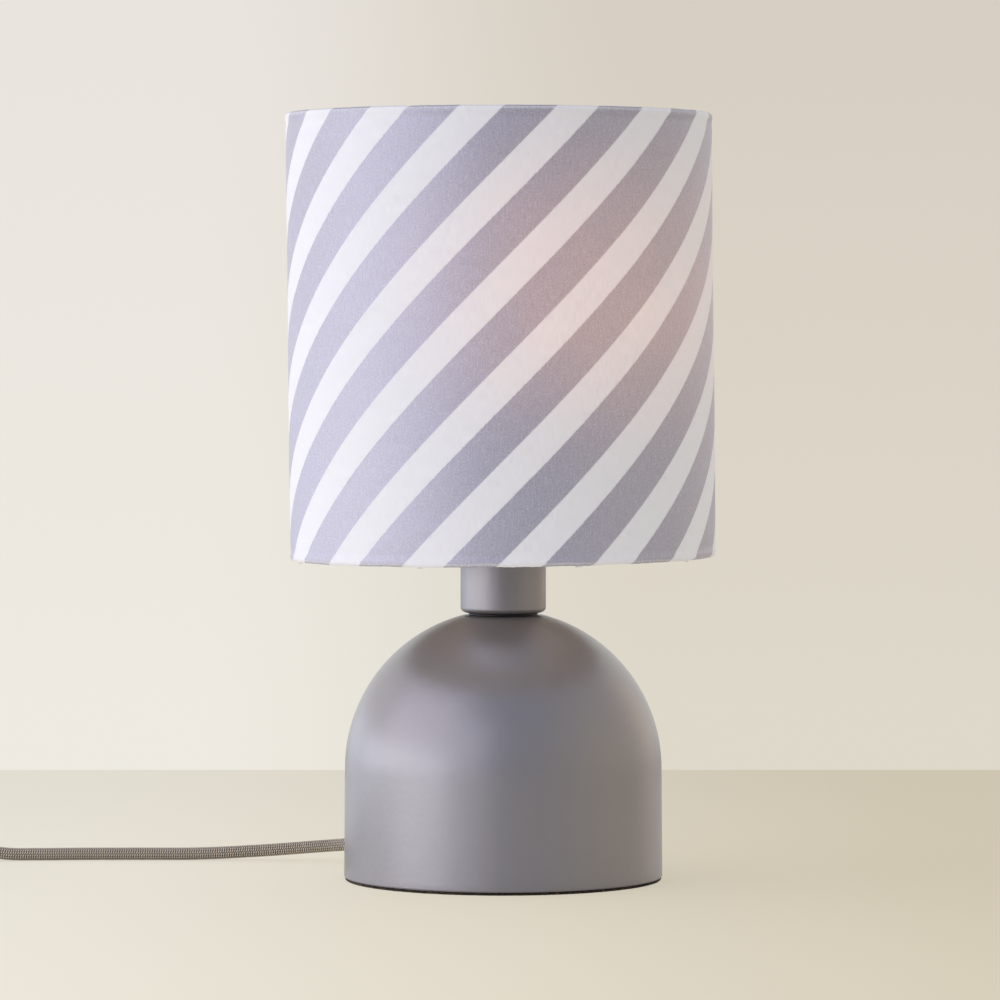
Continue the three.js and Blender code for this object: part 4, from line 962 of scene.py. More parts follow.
# A moulded boot with bending grooves, over a flange that closes the hole.
def strainRelief():
    boot = {
        "bore": 3.3, "lip": 5.2, "lipBack": 71.662, "lipFront": 73.662, "barrel": 4.3,
        "flange": 6.0, "start": 76.1865, "flangeEnd": 78.1865,
        "tip": 95.9865, "root": 5.0, "end": 3.9,
        "grooves": 6, "firstGroove": 0.14, "nextGroove": 0.13, "groove": 0.75, "skin": 0.35,
        "grooveFloor": 0.45, "grooveEdge": 0.75,
    }
    side = [(boot["root"], boot["flangeEnd"])]
    span = boot["tip"] - boot["flangeEnd"]
    for i in range(boot["grooves"]):
        at = boot["flangeEnd"] + span * (boot["firstGroove"] + boot["nextGroove"] * i)
        wide = boot["root"] + (boot["end"] - boot["root"]) * (at - boot["flangeEnd"]) / span
        deep = max(boot["bore"] + boot["skin"], wide - boot["groove"])
        floor, edge = boot["grooveFloor"], boot["grooveEdge"]
        side += [(wide, at - edge), (deep, at - floor), (deep, at + floor), (wide, at + edge)]
    inside = [
        ("bore", "lipBack"), ("lip", "lipBack"), ("lip", "lipFront"), ("barrel", "lipFront"),
        ("barrel", "start"), ("flange", "start"), ("flange", "flangeEnd"),
    ]
    profile = [(boot[wide], boot[at]) for wide, at in inside] + side
    profile += [(boot["end"], boot["tip"]), (boot["bore"], boot["tip"])]
    bm = easeEdges(lathe(profile, sides=48, closed=True), width=0.18)
    outward = Matrix.Rotation(math.radians(flex["degrees"]), 4, "Z")
    outward = outward @ Matrix.Translation((0, 0, flex["startHeight"]))
    place(bm, outward @ Matrix.Rotation(math.pi / 2, 4, "Y"))
    return makePiece(bm, "flex_boot", blackNylon, "lamp", ["strain_relief"])


# The flex inside, level over the slot in the weight and up the tube.
def innerFlex():
    run = {
        "tip": 95.9865, "bend": 64.362, "level": 9.5, "tubeBottom": 112.0, "top": 141.0, "steps": 32
    }
    bend, rise = run["bend"], run["tubeBottom"] - 4
    a, b = Vector((bend, 0, run["level"])), Vector((bend / 2, 0, run["level"]))
    c, d = Vector((0, 0, run["tubeBottom"] / 3)), Vector((0, 0, rise))
    points = [Vector((run["tip"], 0, run["level"]))]
    for i in range(run["steps"] + 1):
        t = i / run["steps"]
        early, late = (1 - t) ** 3 * a + 3 * (1 - t) ** 2 * t * b, 3 * (1 - t) * t * t * c
        points.append(early + late + t**3 * d)
    points.append(Vector((0, 0, run["top"])))
    bm = tube(evenLine(points, step=2.0), lambda along, turn: flex["radius"], sides=16)
    place(bm, Matrix.Rotation(math.radians(flex["degrees"]), 4, "Z"))
    return makePiece(bm, "flex_inside", braid, "lamp", ["inner_cord"], sharpFrom=60)


feltDisc = feltPad()
domeShell()
neckCup()
strainRelief()
innerFlex()
print("foot made")


# A moulded shell whose upper part is a screw thread for the two rings.
def holderShell():
    holder = {
        "outer": 18.8, "bore": 17.3, "bottom": 158.3, "top": 210.0, "topRadius": 18.2,
        "mouth": 14.6, "lip": 3.7, "round": 0.5, "thread": 19.6, "threadBottom": 187.5,
        "threadTop": 208.0, "pitch": 2.5, "depth": 0.7, "rows": 58, "rowStep": 0.35, "runOut": 0.3,
    }
    outer, bore, thread, mouth = holder["outer"], holder["bore"], holder["thread"], holder["mouth"]
    low, top, corner, under = holder["threadBottom"], holder["top"], holder["round"], holder["lip"]
    narrow, runOut = holder["topRadius"], holder["runOut"]
    rows = [low + runOut + i * holder["rowStep"] for i in range(holder["rows"])]
    profile = (
        [(bore, holder["bottom"]), (outer, holder["bottom"]), (outer, low), (thread, low + 0.01)]
        + [(thread, z) for z in rows]
        + [(narrow, holder["threadTop"] + runOut), (narrow, top - corner), (narrow - corner, top),
           (mouth + corner, top), (mouth, top - corner), (mouth, top - under), (bore, top - under)]
    )
    bm = lathe(profile, sides=96, closed=True)
    for vert in bm.verts:
        reach = vert.co.xy.length
        if reach > thread - 0.05 and vert.co.z > low + 0.2:
            turn = math.tau * vert.co.z / holder["pitch"] - math.atan2(vert.co.y, vert.co.x)
            vert.co.xy *= 1 - holder["depth"] * (0.5 - 0.5 * math.cos(turn)) / reach
    return makePiece(bm, "holder_shell", blackNylon, "lamp", ["lampholder_shell"])


# A screw-on collar with grips round its rim.
def shadeRing(name, node, body, bottom, top, radius, ribs, depth, bore=19.9):
    middle = (bottom + top) / 2
    outline = [(radius, bottom), (radius, middle), (radius, top), (bore, top), (bore, bottom)]
    bm = lathe(outline, ribs * 10, closed=True)
    for vert in bm.verts:
        if vert.co.xy.length > radius - 0.01:
            wave = math.cos(ribs * math.atan2(vert.co.y, vert.co.x))
            vert.co.xy *= 1 - depth * (0.5 - 0.5 * math.tanh(3 * wave)) / radius
    easeEdges(bm, width=0.35, sharperThan=60)
    return makePiece(bm, name, blackNylon, body, [node], sharpFrom=35)


# The lamp's housing flares from its cap to its board.
def lampHousing():
    body = {
        "neck": 13.9, "plug": 10.9, "radius": 24.0, "wall": 1.8, "neckWall": 2.1, "sides": 96,
        "bottom": 200.1, "shoulder": 211.1, "floor": 213.2, "boardSeat": 243.0, "top": 245.5,
        "steps": 12, "early": 1.12, "swell": 0.9, "waist": 1.3,
    }
    neck, radius, wall = body["neck"], body["radius"], body["wall"]
    shoulder, seat, top, floor = body["shoulder"], body["boardSeat"], body["top"], body["floor"]
    flare = []
    for i in range(body["steps"] + 1):
        t = i / body["steps"]
        opened = min(1.0, t * body["early"]) ** body["swell"]
        wide = neck + (radius - neck) * opened - body["waist"] * math.sin(math.pi * t)
        flare.append((min(wide, radius), shoulder + (top - shoulder) * t))
    profile = (
        [(0, body["bottom"]), (body["plug"], body["bottom"]), (body["plug"], shoulder)]
        + flare
        + [(radius - wall, top), (radius - wall, seat), (radius - 2 * wall, seat),
           (neck - body["neckWall"], floor), (0, floor)]
    )
    bm = easeEdges(lathe(profile, body["sides"]), width=0.3)
    return makePiece(bm, "lamp_housing", whiteShell, "bulb", ["bulb_housing"])


def lampGlobe():
    globe = {"radius": 30.0, "wall": 1.2, "bottom": 245.8, "housing": 24.0, "sides": 96}
    radius, bottom, inner = globe["radius"], globe["bottom"], globe["radius"] - globe["wall"]
    middle = bottom + math.sqrt(radius**2 - globe["housing"] ** 2)
    outerFrom = math.asin((bottom - middle) / radius)
    innerFrom = math.asin((bottom - middle) / inner)
    profile = arcPoints((0, middle), inner, inner, math.pi / 2, innerFrom, steps=24)
    profile += arcPoints((0, middle), radius, radius, outerFrom, math.pi / 2, steps=32)
    profile[0], profile[-1] = (0, profile[0][1]), (0, profile[-1][1])
    bm = lathe(profile, globe["sides"])
    return makePiece(bm, "lamp_globe", opal, "bulb", ["bulb_diffuser"])


def wireLead(name, node, material, turn):
    lead = {
        "radius": 1.0, "beside": 1.3, "offset": 9.0, "start": 141.3, "core": 164.3, "end": 172.0
    }
    core, start, beside, offset = lead["core"], lead["start"], lead["beside"], lead["offset"]
    line = smoothLine(
        [(beside, 0, start), (beside, 0, start + 4), (offset * 0.45, 0, start + 9),
         (offset * 0.9, 0, core - 8), (offset, 0, core - 3), (offset, 0, core + 2),
         (offset, 0, lead["end"])],
        step=0.8,
    )
    bm = tube(line, lambda along, turn: lead["radius"], sides=12)
    place(bm, Matrix.Rotation(turn, 4, "Z"))
    return makePiece(bm, name, material, "lamp", [node], sharpFrom=60)


holderShell()
shadeRing(
    "ring_under_shade", "shade_ring_lower", "lamp",
    bottom=187.5, top=191.5, radius=26.0, ribs=24, depth=0.6,
)
shadeRing(
    "ring_over_shade", "shade_ring_upper", "shade_ring",
    bottom=193.6, top=199.6, radius=27.5, ribs=18, depth=0.8,
)
lampHousing()
lampGlobe()
wireLead("wire_live", "lead_live", brownSleeve, turn=0)
wireLead("wire_neutral", "lead_neutral", blueSleeve, turn=math.pi)
print("lamp holder and lamp made")


# The way across the cloth: up inside the lower lip, out and up the wall, in over the top hoop
# and down.
def clothProfile():
    radius, turn, lip = shade["radius"], shade["turn"], shade["lip"]
    corner, small = radius - turn, shade["lipTurn"]
    low, high = shade["bottom"], shade["top"]
    # rows lie closer near the edges, where the cloth bends over the hoops
    close, wallRows = (shade["firstRow"], 3.0, 3.8, 4.8, 6, 7.5), 34
    path = [(lip, low + shade["lipEnd"]), (lip, low + 1.6)]
    path += arcPoints((lip + small, low + small), small, small, math.pi, 1.5 * math.pi, steps=3)
    path += arcPoints((corner, low + turn), turn, turn, -math.pi / 2, 0, steps=6)
    path += [(radius, low + rise) for rise in close]
    path += [(radius, low + 9 + (high - low - 18) * i / wallRows) for i in range(wallRows + 1)]
    path += [(radius, high - drop) for drop in reversed(close)]
    path += arcPoints((corner, high - turn), turn, turn, 0, math.pi / 2, steps=6)
    path += arcPoints((lip + small, high - small), small, small, math.pi / 2, math.pi, steps=3)
    path += [(lip, high - 1.6), (lip, high - shade["lipEnd"])]
    return path


def shadeCloth():
    cloth = {
        "lap": 0.55, "lapHeld": 0.65, "lapSlope": 2.0,
        "wave": 0.28, "wavesAcross": 3.1, "wavesUp": 0.012, "outside": 100,
        "overWire": 0.22, "wireAt": 2.2, "wireReach": 1.3,
        "pullIn": 0.8, "pullAt": 5.4, "pullReach": 1.5,
        "edgeZone": 3.5, "edgeWave": 0.3, "edgeWaves": 9, "upperShare": 0.45,
        "fray": 0.16, "frays": 55, "frayOut": 0.5,
    }
    path = clothProfile()
    along = [0.0]
    for a, b in zip(path, path[1:]):
        along.append(along[-1] + math.dist(a, b))
    # V is the height on the wall, and runs on over the edges by the length of the cloth
    firstHeight = shade["bottom"] + shade["firstRow"]
    wallStart = next(i for i, p in enumerate(path) if abs(p[1] - firstHeight) < 0.01)
    offset = path[wallStart][1] - along[wallStart]
    rows, columns = len(path) - 1, shade["columns"]
    middleHeight = 250
    around = math.tau * shade["radius"] + shade["lapOver"]
    bm = bmesh.new()
    layer, edgeLayer = bm.loops.layers.uv.new("cloth"), bm.loops.layers.uv.new("edges")
    bmesh.ops.create_grid(bm, x_segments=columns, y_segments=rows, size=1, calc_uvs=True)
    for face in bm.faces:
        for loop in face.loops:
            x, y = (loop.vert.co.x + 1) / 2, (loop.vert.co.y + 1) / 2
            s, height = (x - 0.5) * around, along[round(y * rows)] + offset
            lift = rimLift(shade["radius"] * math.sin(s / shade["radius"]), height)
            loop[layer].uv = (s / 1000, (height + lift) / 1000)
            loop[edgeLayer].uv = ((shade["top"] - height) / 1000, (height - shade["bottom"]) / 1000)
    for vert in bm.verts:
        x, row = (vert.co.x + 1) / 2, round((vert.co.y + 1) / 2 * rows)
        reach, height = path[row]
        s = (x - 0.5) * around
        theta = s / shade["radius"]
        # the last of the cloth lies over the first, glued down at the back
        pastLap = s - math.pi * shade["radius"] + shade["lapOver"] * cloth["lapHeld"]
        reach += cloth["lap"] * max(0.0, min(1.0, pastLap / cloth["lapSlope"]))
        east, north = math.sin(theta), -math.cos(theta)
        often, up = cloth["wavesAcross"], cloth["wavesUp"]
        reach += cloth["wave"] * noise.noise(Vector((east * often, north * often, height * up)))
        # it is pulled over the hoop, and sinks a little just beyond it
        fromEdge = min(height - shade["bottom"], shade["top"] - height)
        if reach > cloth["outside"]:
            over = math.exp(-(((fromEdge - cloth["wireAt"]) / cloth["wireReach"]) ** 2))
            beyond = math.exp(-(((fromEdge - cloth["pullAt"]) / cloth["pullReach"]) ** 2))
            reach += cloth["overWire"] * (over - cloth["pullIn"] * beyond)
        if fromEdge < cloth["edgeZone"]:
            side = 1 if height > middleHeight else -1
            waves, frays = cloth["edgeWaves"], cloth["frays"]
            wavy = noise.noise(Vector((east * waves, north * waves, side * 7.0)))
            rough = noise.noise(Vector((east * frays, north * frays, side * 3.0)))
            share = 1.0 if side < 0 else cloth["upperShare"]
            height += share * (cloth["edgeWave"] * wavy + cloth["fray"] * rough)
            reach += cloth["frayOut"] * cloth["fray"] * rough * share
        vert.co = (reach * east, reach * north, height)
    bmesh.ops.recalc_face_normals(bm, faces=bm.faces)
    wall = next(f for f in bm.faces if abs(f.calc_center_median().z - middleHeight) < 5)
    middle = wall.calc_center_median()
    if wall.normal.x * middle.x + wall.normal.y * middle.y < 0:
        bmesh.ops.reverse_faces(bm, faces=bm.faces)
    piece = makePiece(
        bm, "shade_cloth", cotton, "shade", ["shade_fabric"], sharpFrom=80
    )
    thick = piece.modifiers.new("cloth thickness", "SOLIDIFY")
    thick.thickness = shade["fabric"] / 1000
    thick.offset = -1
    return piece


def shadeLiner():
    liner = {"outer": 100.4, "inner": 99.8, "bottom": 154.2, "top": 363.7, "rows": 12}
    rise = liner["top"] - liner["bottom"]
    rows = [liner["bottom"] + rise * i / liner["rows"] for i in range(liner["rows"] + 1)]
    profile = [(liner["outer"], z) for z in rows] + [(liner["inner"], z) for z in reversed(rows)]
    bm = lathe(profile, sides=160, closed=True)
    return makePiece(bm, "lining_film", film, "shade", ["shade_liner"])


def hoop(name, node, height):
    wireRadius = shade["hoopWire"] / 2
    profile = arcPoints((shade["hoop"], height), wireRadius, wireRadius, 0, math.tau, steps=12)[:-1]
    bm = lathe(profile, sides=144, closed=True)
    return makePiece(bm, name, wire, "shade", [node])


# Each arm is bent wire, from the lower hoop up to the rim of the fitter.
def shadeArm(index, angle):
    arm = {"radius": 1.5, "reach": 99.2, "foot": 158.4, "fitter": 192.55, "start": 30.3}
    reach, foot, start, fitter = arm["reach"], arm["foot"], arm["start"], arm["fitter"]
    points = [
        (reach, 0, foot), (reach - 6, 0, foot), (reach - 12, 0, foot + 1.6),
        (start + 16, 0, fitter - 5.5), (start + 6, 0, fitter - 0.6), (start, 0, fitter),
    ]
    line = smoothLine(points, step=1.2)
    bm = tube(line, lambda along, turn: arm["radius"], sides=16)
    place(bm, Matrix.Rotation(math.radians(angle), 4, "Z"))
    node = f"shade_arm_{index}"
    return makePiece(bm, f"arm_{index}", wire, "shade", [node], sharpFrom=60)


def fitterRing():
    ring = {"outer": 30.0, "bore": 20.2, "bottom": 191.8, "top": 193.3}
    outer, bore, low, high = ring["outer"], ring["bore"], ring["bottom"], ring["top"]
    outline = [(outer, low), (outer, high), (bore, high), (bore, low)]
    bm = easeEdges(lathe(outline, sides=96, closed=True), width=0.3)
    return makePiece(bm, "fitter_disc", wire, "shade", ["shade_fitter_ring"])


# Ends of thread that hang from the lower edge.
def looseThreads():
    thread = {
        "radius": 0.13, "root": 99.2, "above": 0.25,
        # degrees from the front, length, and the way it lies
        "ends": [(-23, 2.6, 1), (-22, 1.6, -1), (19, 3.4, 1), (20.5, 2.2, -1), (58, 1.8, 1),
                 (-71, 2.0, -1), (123, 3.0, 1), (-140, 2.4, 1)],
        # the way outwards, the share of the length and the drop
        "curl": [(0, 0, 0), (0.6, 0.4, 0.45), (1.2, 0.8, 0.8), (1.5, 1.0, 0.55)],
    }
    parts = []
    for degrees, length, way in thread["ends"]:
        theta = math.radians(degrees)
        out = Vector((math.sin(theta), -math.cos(theta), 0))
        along = Vector((math.cos(theta), math.sin(theta), 0)) * way
        start = out * thread["root"] + Vector((0, 0, shade["bottom"] + thread["above"]))
        points = [
            start + out * o + along * length * part - Vector((0, 0, drop))
            for o, part, drop in thread["curl"]
        ]
        line = smoothLine(points, step=0.3)
        parts.append(tube(line, lambda along, turn: thread["radius"], sides=6))
    return makePiece(
        joinMeshes(parts), "loose_threads", cotton, "shade", sharpFrom=80
    )


shadeCloth()
shadeLiner()
hoop("hoop_low", "shade_hoop_bottom", height=155.4)
hoop("hoop_high", "shade_hoop_top", height=362.5)
for number, angle in enumerate((90, 210, 330), 1):
    shadeArm(number, angle)
fitterRing()
looseThreads()
print("shade made")

switch = {
    "centre": (-304.0, 87.0), "length": 56.0, "width": 24.0, "height": 17.0, "corner": 6.0,
    "baseTop": 6.85, "coverBottom": 7.15, "round": 2.2, "break": 0.25, "flexHeight": 7.0,
    "slot": (20.6, 10.0), "well": 6.4, "pivot": 14.5, "tilt": 10.0,
}


def switchHousing():
    move = Matrix.Translation((*switch["centre"], 0))
    length, width, corner = switch["length"], switch["width"], switch["corner"]
    base = roundedBox(length, width, 0, switch["baseTop"], corner)
    easeRim(base, 0, width=0.8, segments=3)
    easeRim(base, switch["baseTop"], switch["break"], segments=2)
    place(base, move)
    lower = makePiece(base, "switch_underside", greyNylon, "lamp", ["switch_base"])
    cover = roundedBox(length, width, switch["coverBottom"], switch["height"], corner)
    easeRim(cover, switch["height"], switch["round"], segments=5)
    easeRim(cover, switch["coverBottom"], switch["break"], segments=2)
    # the rocker's well
    lid = faceAt(cover, switch["height"])
    bmesh.ops.inset_region(cover, faces=[lid], thickness=switch["round"], use_even_offset=True)
    top = faceAt(cover, switch["height"])
    across = max(v.co.x for v in top.verts), max(v.co.y for v in top.verts)
    for vert in top.verts:
        vert.co.x *= switch["slot"][0] / 2 / across[0]
        vert.co.y *= switch["slot"][1] / 2 / across[1]
    rim = list(top.edges)
    well = bmesh.ops.extrude_face_region(cover, geom=[top])
    sunk = [v for v in well["geom"] if isinstance(v, bmesh.types.BMVert)]
    bmesh.ops.translate(cover, vec=(0, 0, -switch["well"]), verts=sunk)
    bmesh.ops.delete(cover, geom=[top], context="FACES_ONLY")
    bevelEdges(cover, rim, width=0.5, segments=3)
    bmesh.ops.recalc_face_normals(cover, faces=cover.faces)
    place(cover, move)
    upper = makePiece(cover, "switch_top", greyNylon, "lamp", ["switch_cover"])
    return lower, upper


# A short moulded sleeve where the flex goes in at each end.
def switchSleeve(name, x, way):
    sleeve = {
        "bore": 3.25, "root": 5.6, "neck": 4.6, "mouth": 4.2, "start": 0.05, "neckAt": 4.0,
        "end": 4.5,
    }
    bore, start, end = sleeve["bore"], sleeve["start"], sleeve["end"]
    profile = [
        (bore, start), (sleeve["root"], start), (sleeve["neck"], sleeve["neckAt"]),
        (sleeve["mouth"], end), (bore, end),
    ]
    bm = easeEdges(lathe(profile, sides=32, closed=True), width=0.15)
    middle = Matrix.Translation((x, switch["centre"][1], switch["flexHeight"]))
    place(bm, middle @ Matrix.Rotation(way * math.pi / 2, 4, "Y"))
    return makePiece(bm, name, greyNylon, "lamp")


# A key that dips in the middle and rises to its ends.
def switchRocker():
    rocker = {
        "half": 9.3, "width": 9.4, "below": -2.5, "cheek": 0.6, "taper": 3, "middle": 3.0,
        "slope": (4.6, 3.45), "end": 4.8, "flat": 1.2,
    }
    half, end, below, cheek = rocker["half"], rocker["end"], rocker["below"], rocker["cheek"]
    taper, flat, (slopeAt, slopeHeight) = rocker["taper"], rocker["flat"], rocker["slope"]
    outline = [
        (-half, cheek), (-half + taper, below), (half - taper, below), (half, cheek), (half, end),
        (half - flat, end), (slopeAt, slopeHeight), (0, rocker["middle"]), (-slopeAt, slopeHeight),
        (-half + flat, end), (-half, end),
    ]
    bm = bmesh.new()
    face = bm.faces.new([bm.verts.new((x, -rocker["width"] / 2, z)) for x, z in outline])
    grown = bmesh.ops.extrude_face_region(bm, geom=[face])
    moved = [v for v in grown["geom"] if isinstance(v, bmesh.types.BMVert)]
    bmesh.ops.translate(bm, vec=(0, rocker["width"], 0), verts=moved)
    bmesh.ops.recalc_face_normals(bm, faces=bm.faces)
    easeEdges(bm, width=0.45, segments=3, sharperThan=30)
    tilt = Matrix.Rotation(-math.radians(switch["tilt"]), 4, "Y")
    place(bm, Matrix.Translation((*switch["centre"], switch["pivot"])) @ tilt)
    return makePiece(bm, "rocker_key", blackNylon, "rocker", ["switch_rocker"])


switchParts = [
    *switchHousing(),
    switchSleeve("sleeve_lamp_side", x=-276.0, way=1),
    switchSleeve("sleeve_plug_side", x=-332.0, way=-1),
    switchRocker(),
]
print("switch made")


# A strap round the loops of the coil.
def coilTie():
    tie = {
        "inner": 24.0, "outer": 45.4, "low": 1.0, "high": 14.2, "thick": 1.0, "width": 12.0,
        "round": 1.6,
    }
    loop, bend, quarterTurn = [], tie["round"], math.pi / 2
    middle = ((tie["inner"] + tie["outer"]) / 2, (tie["low"] + tie["high"]) / 2)
    half = ((tie["outer"] - tie["inner"]) / 2, (tie["high"] - tie["low"]) / 2)
    for quarter, (sx, sz) in enumerate(((1, 1), (-1, 1), (-1, -1), (1, -1))):
        corner = (middle[0] + sx * (half[0] - bend), middle[1] + sz * (half[1] - bend))
        start, end = quarter * quarterTurn, (quarter + 1) * quarterTurn
        loop += arcPoints(corner, bend, bend, start, end, steps=5)
    bm = bmesh.new()
    verts = [bm.verts.new((x, -tie["width"] / 2, z)) for x, z in loop]
    edges = [bm.edges.new((a, b)) for a, b in zip(verts, verts[1:] + verts[:1])]
    grown = bmesh.ops.extrude_edge_only(bm, edges=edges)
    moved = [v for v in grown["geom"] if isinstance(v, bmesh.types.BMVert)]
    bmesh.ops.translate(bm, vec=(0, tie["width"], 0), verts=moved)
    bmesh.ops.recalc_face_normals(bm, faces=bm.faces)
    if sum(f.normal.x * (f.calc_center_median().x - middle[0]) for f in bm.faces) < 0:
        bmesh.ops.reverse_faces(bm, faces=bm.faces)
    bmesh.ops.solidify(bm, geom=list(bm.faces), thickness=-tie["thick"])
    bmesh.ops.recalc_face_normals(bm, faces=bm.faces)
    place(bm, Matrix.Translation((*coil["centre"], 0)))
    return makePiece(bm, "coil_strap", strap, "lamp", ["coil_tie"])


# A moulded plug: a ribbed boot, a grip with finger ridges, and a flat face for the blades.
def plugShell():
    plug = {
        "start": (-366.0, -46.0, 8.0), "boot": 22.0, "bootTip": 4.0, "bootRadius": 5.5, "bore": 3.3,
        "length": 26.0, "width": 24.0, "height": 16.0, "corner": 5.0, "shoulder": (0.86, 0.78, 1),
        "ridge": 2.2, "firstRidge": 5.5, "ridgeRows": 6, "ridgeIn": (0.955, 0.965),
        "ribs": 6, "ribStep": 3.0, "ribDepth": 0.7, "ribFoot": 0.35, "ribTop": 1.15, "ribEnd": 1.5,
        "ribLip": 0.06, "under": 0.6,
    }
    boot, end = plug["boot"], plug["boot"] + plug["length"]
    body = roundedBox(plug["height"], plug["width"], boot, end, plug["corner"])
    shoulder = [v for v in body.verts if v.co.z < boot + 0.01]
    bmesh.ops.scale(body, vec=plug["shoulder"], verts=shoulder)
    easeRim(body, end, width=0.7, segments=3)
    # finger ridges: grooves drawn into the sides of the grip
    first = boot + plug["firstRidge"]
    levels = [first + level * plug["ridge"] for level in range(plug["ridgeRows"])]
    for level in levels:
        everything = body.verts[:] + body.edges[:] + body.faces[:]
        bmesh.ops.bisect_plane(body, geom=everything, plane_co=(0, 0, level), plane_no=(0, 0, 1))
    for vert in body.verts:
        if any(abs(vert.co.z - level) < 0.05 for level in levels[1:4:2]):
            vert.co.x *= plug["ridgeIn"][0]
            vert.co.y *= plug["ridgeIn"][1]
    easeRim(body, boot, width=1.2, segments=3)
    rings = [(plug["bore"], 0.0), (plug["bootTip"], 0.0)]
    for i in range(plug["ribs"]):
        at = plug["ribStep"] + plug["ribStep"] * i
        wide = plug["bootTip"] + (plug["bootRadius"] - plug["bootTip"]) * at / boot
        deep = wide - plug["ribDepth"]
        rings += [
            (wide, at), (deep, at + plug["ribFoot"]), (deep, at + plug["ribTop"]),
            (wide + plug["ribLip"], at + plug["ribEnd"]),
        ]
    rings += [(plug["bootRadius"], boot + plug["under"]), (plug["bore"], boot + plug["under"])]
    sleeve = easeEdges(lathe(rings, sides=40, closed=True), width=0.14)
    bm = joinMeshes([body, sleeve])
    turn = Matrix.Rotation(-math.pi / 2, 4, "Z") @ Matrix.Rotation(math.pi / 2, 4, "Y")
    place(bm, Matrix.Translation(plug["start"]) @ turn)
    return makePiece(bm, "plug_shell", blackNylon, "lamp", ["plug_body"])


strapPiece = coilTie()
plugPiece = plugShell()
print("tie and plug made")

# the CAD's own solids that stay in view, and the replaced ones that need a finish
solidFinishes = [
    (zinc, ["base_plate", "plate_screw_1", "plate_screw_2", "plate_screw_3", "shell_tab_1",
            "shell_tab_2", "shell_tab_3", "weight_bolt", "cord_stop", "threaded_tube",
            "lock_washer", "dome_washer", "rocker_pin", "switch_screw_1", "switch_screw_2"]),
    (iron, ["ballast_weight"]),
    (brass, ["tube_nut_lower", "tube_nut_upper", "screw_contact_shell", "centre_contact",
             "terminal_screw_1", "terminal_screw_2", "bulb_tip", "plug_blade_1", "plug_blade_2"]),
    (blackNylon, ["neck_washer", "lampholder_cap", "bulb_insulator"]),
    (steatite, ["lampholder_core"]),
    (nickel, ["bulb_cap"]),
    (resist, ["led_board"]),
    (felt, ["felt_pad"]),
    (paint, ["base_shell", "socket_cup"]),
    (braid, ["inner_cord", "cord_coil"]),
    (cotton, ["shade_fabric"]),
]
for finish, nodes in solidFinishes:
    for node in nodes:
        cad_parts[node].data.materials.clear()
        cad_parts[node].data.materials.append(finish)

print("finishes given")


# Laminate with a satin face, with painted light: paler to the left and towards the front. Over
# half of what the camera sees of it is its own light, so that the shadow on it is as faint as on a
# table in a bright room.
def tableTop():
    table = {
        "left": "#f3eedd", "right": "#e1d7bf", "nearer": 1.075, "own": 0.6,
        "back": 0.61, "front": -0.75, "half": 1.6, "below": 0.00005,  # metres
    }
    material, tree, spot = newTree("satinLaminate")
    part = addNode(tree, "SeparateXYZ", {0: spot})
    # painted light: paler to the left and, below, towards the front
    way = addNode(
        tree,
        "MapRange",
        {"Value": part.outputs["X"], "From Min": -0.26, "From Max": 0.26},
        interpolation_type="SMOOTHSTEP",
    )
    near = addNode(
        tree,
        "MapRange",
        {
            "Value": part.outputs["Y"], "From Min": 0.5, "From Max": -0.4, "To Min": 0.99,
            "To Max": table["nearer"],
        },
    )
    pale = addNode(
        tree, "Mix", {0: way, 6: linear(table["left"]), 7: linear(table["right"])}, data_type="RGBA"
    )
    tint = addNode(tree, "Mix", {0: 1.0, 6: pale, 7: near}, data_type="RGBA", blend_type="MULTIPLY")
    ray = addNode(tree, "LightPath", {}).outputs["Is Camera Ray"]
    less = addNode(tree, "Mix", {0: table["own"], 6: tint, 7: linear("#000000")}, data_type="RGBA")
    matt = addNode(tree, "BsdfDiffuse", {"Color": less})
    own = addNode(tree, "Emission", {"Color": tint, "Strength": table["own"]})
    seen = addNode(tree, "AddShader", {0: matt, 1: own})
    lit = addNode(
        tree, "BsdfPrincipled", {"Base Color": tint, "Roughness": 0.22, "Specular IOR Level": 0.5}
    )
    addNode(
        tree, "OutputMaterial", {"Surface": addNode(tree, "MixShader", {0: ray, 1: lit, 2: seen})}
    )
    bm = bmesh.new()
    bmesh.ops.create_grid(bm, x_segments=1, y_segments=1, size=1)
    for vert in bm.verts:
        vert.co.x *= table["half"]
        vert.co.y = table["back"] if vert.co.y > 0 else table["front"]
        vert.co.z = -table["below"]
    mesh = bpy.data.meshes.new("table_top")
    bm.to_mesh(mesh)
    bm.free()
    mesh.materials.append(material)
    top = bpy.data.objects.new("table_top", mesh)
    bpy.context.scene.collection.objects.link(top)


# A panel that shines on a point on the lamp's axis. Turn is in degrees round from the front, rise
# in degrees up, and a brightness of 1 is a white wall.
def softbox(name, turn, rise, distance, aimHeight, size, brightness, colour):
    turn, rise = math.radians(turn), math.radians(rise)
    aim = Vector((0, 0, aimHeight))
    away = Vector(
        (math.sin(turn) * math.cos(rise), -math.cos(turn) * math.cos(rise), math.sin(rise))
    )
    data = bpy.data.lights.new(name, "AREA")
    data.shape = "RECTANGLE"
    data.size, data.size_y = size
    data.energy = brightness * math.pi * size[0] * size[1]
    data.color = linear(colour)[:3]
    box = bpy.data.objects.new(name, data)
    box.location = aim + distance * away
    box.rotation_euler = (-away).to_track_quat("-Z", "Y").to_euler()
    box.visible_camera = False
    bpy.context.scene.collection.objects.link(box)


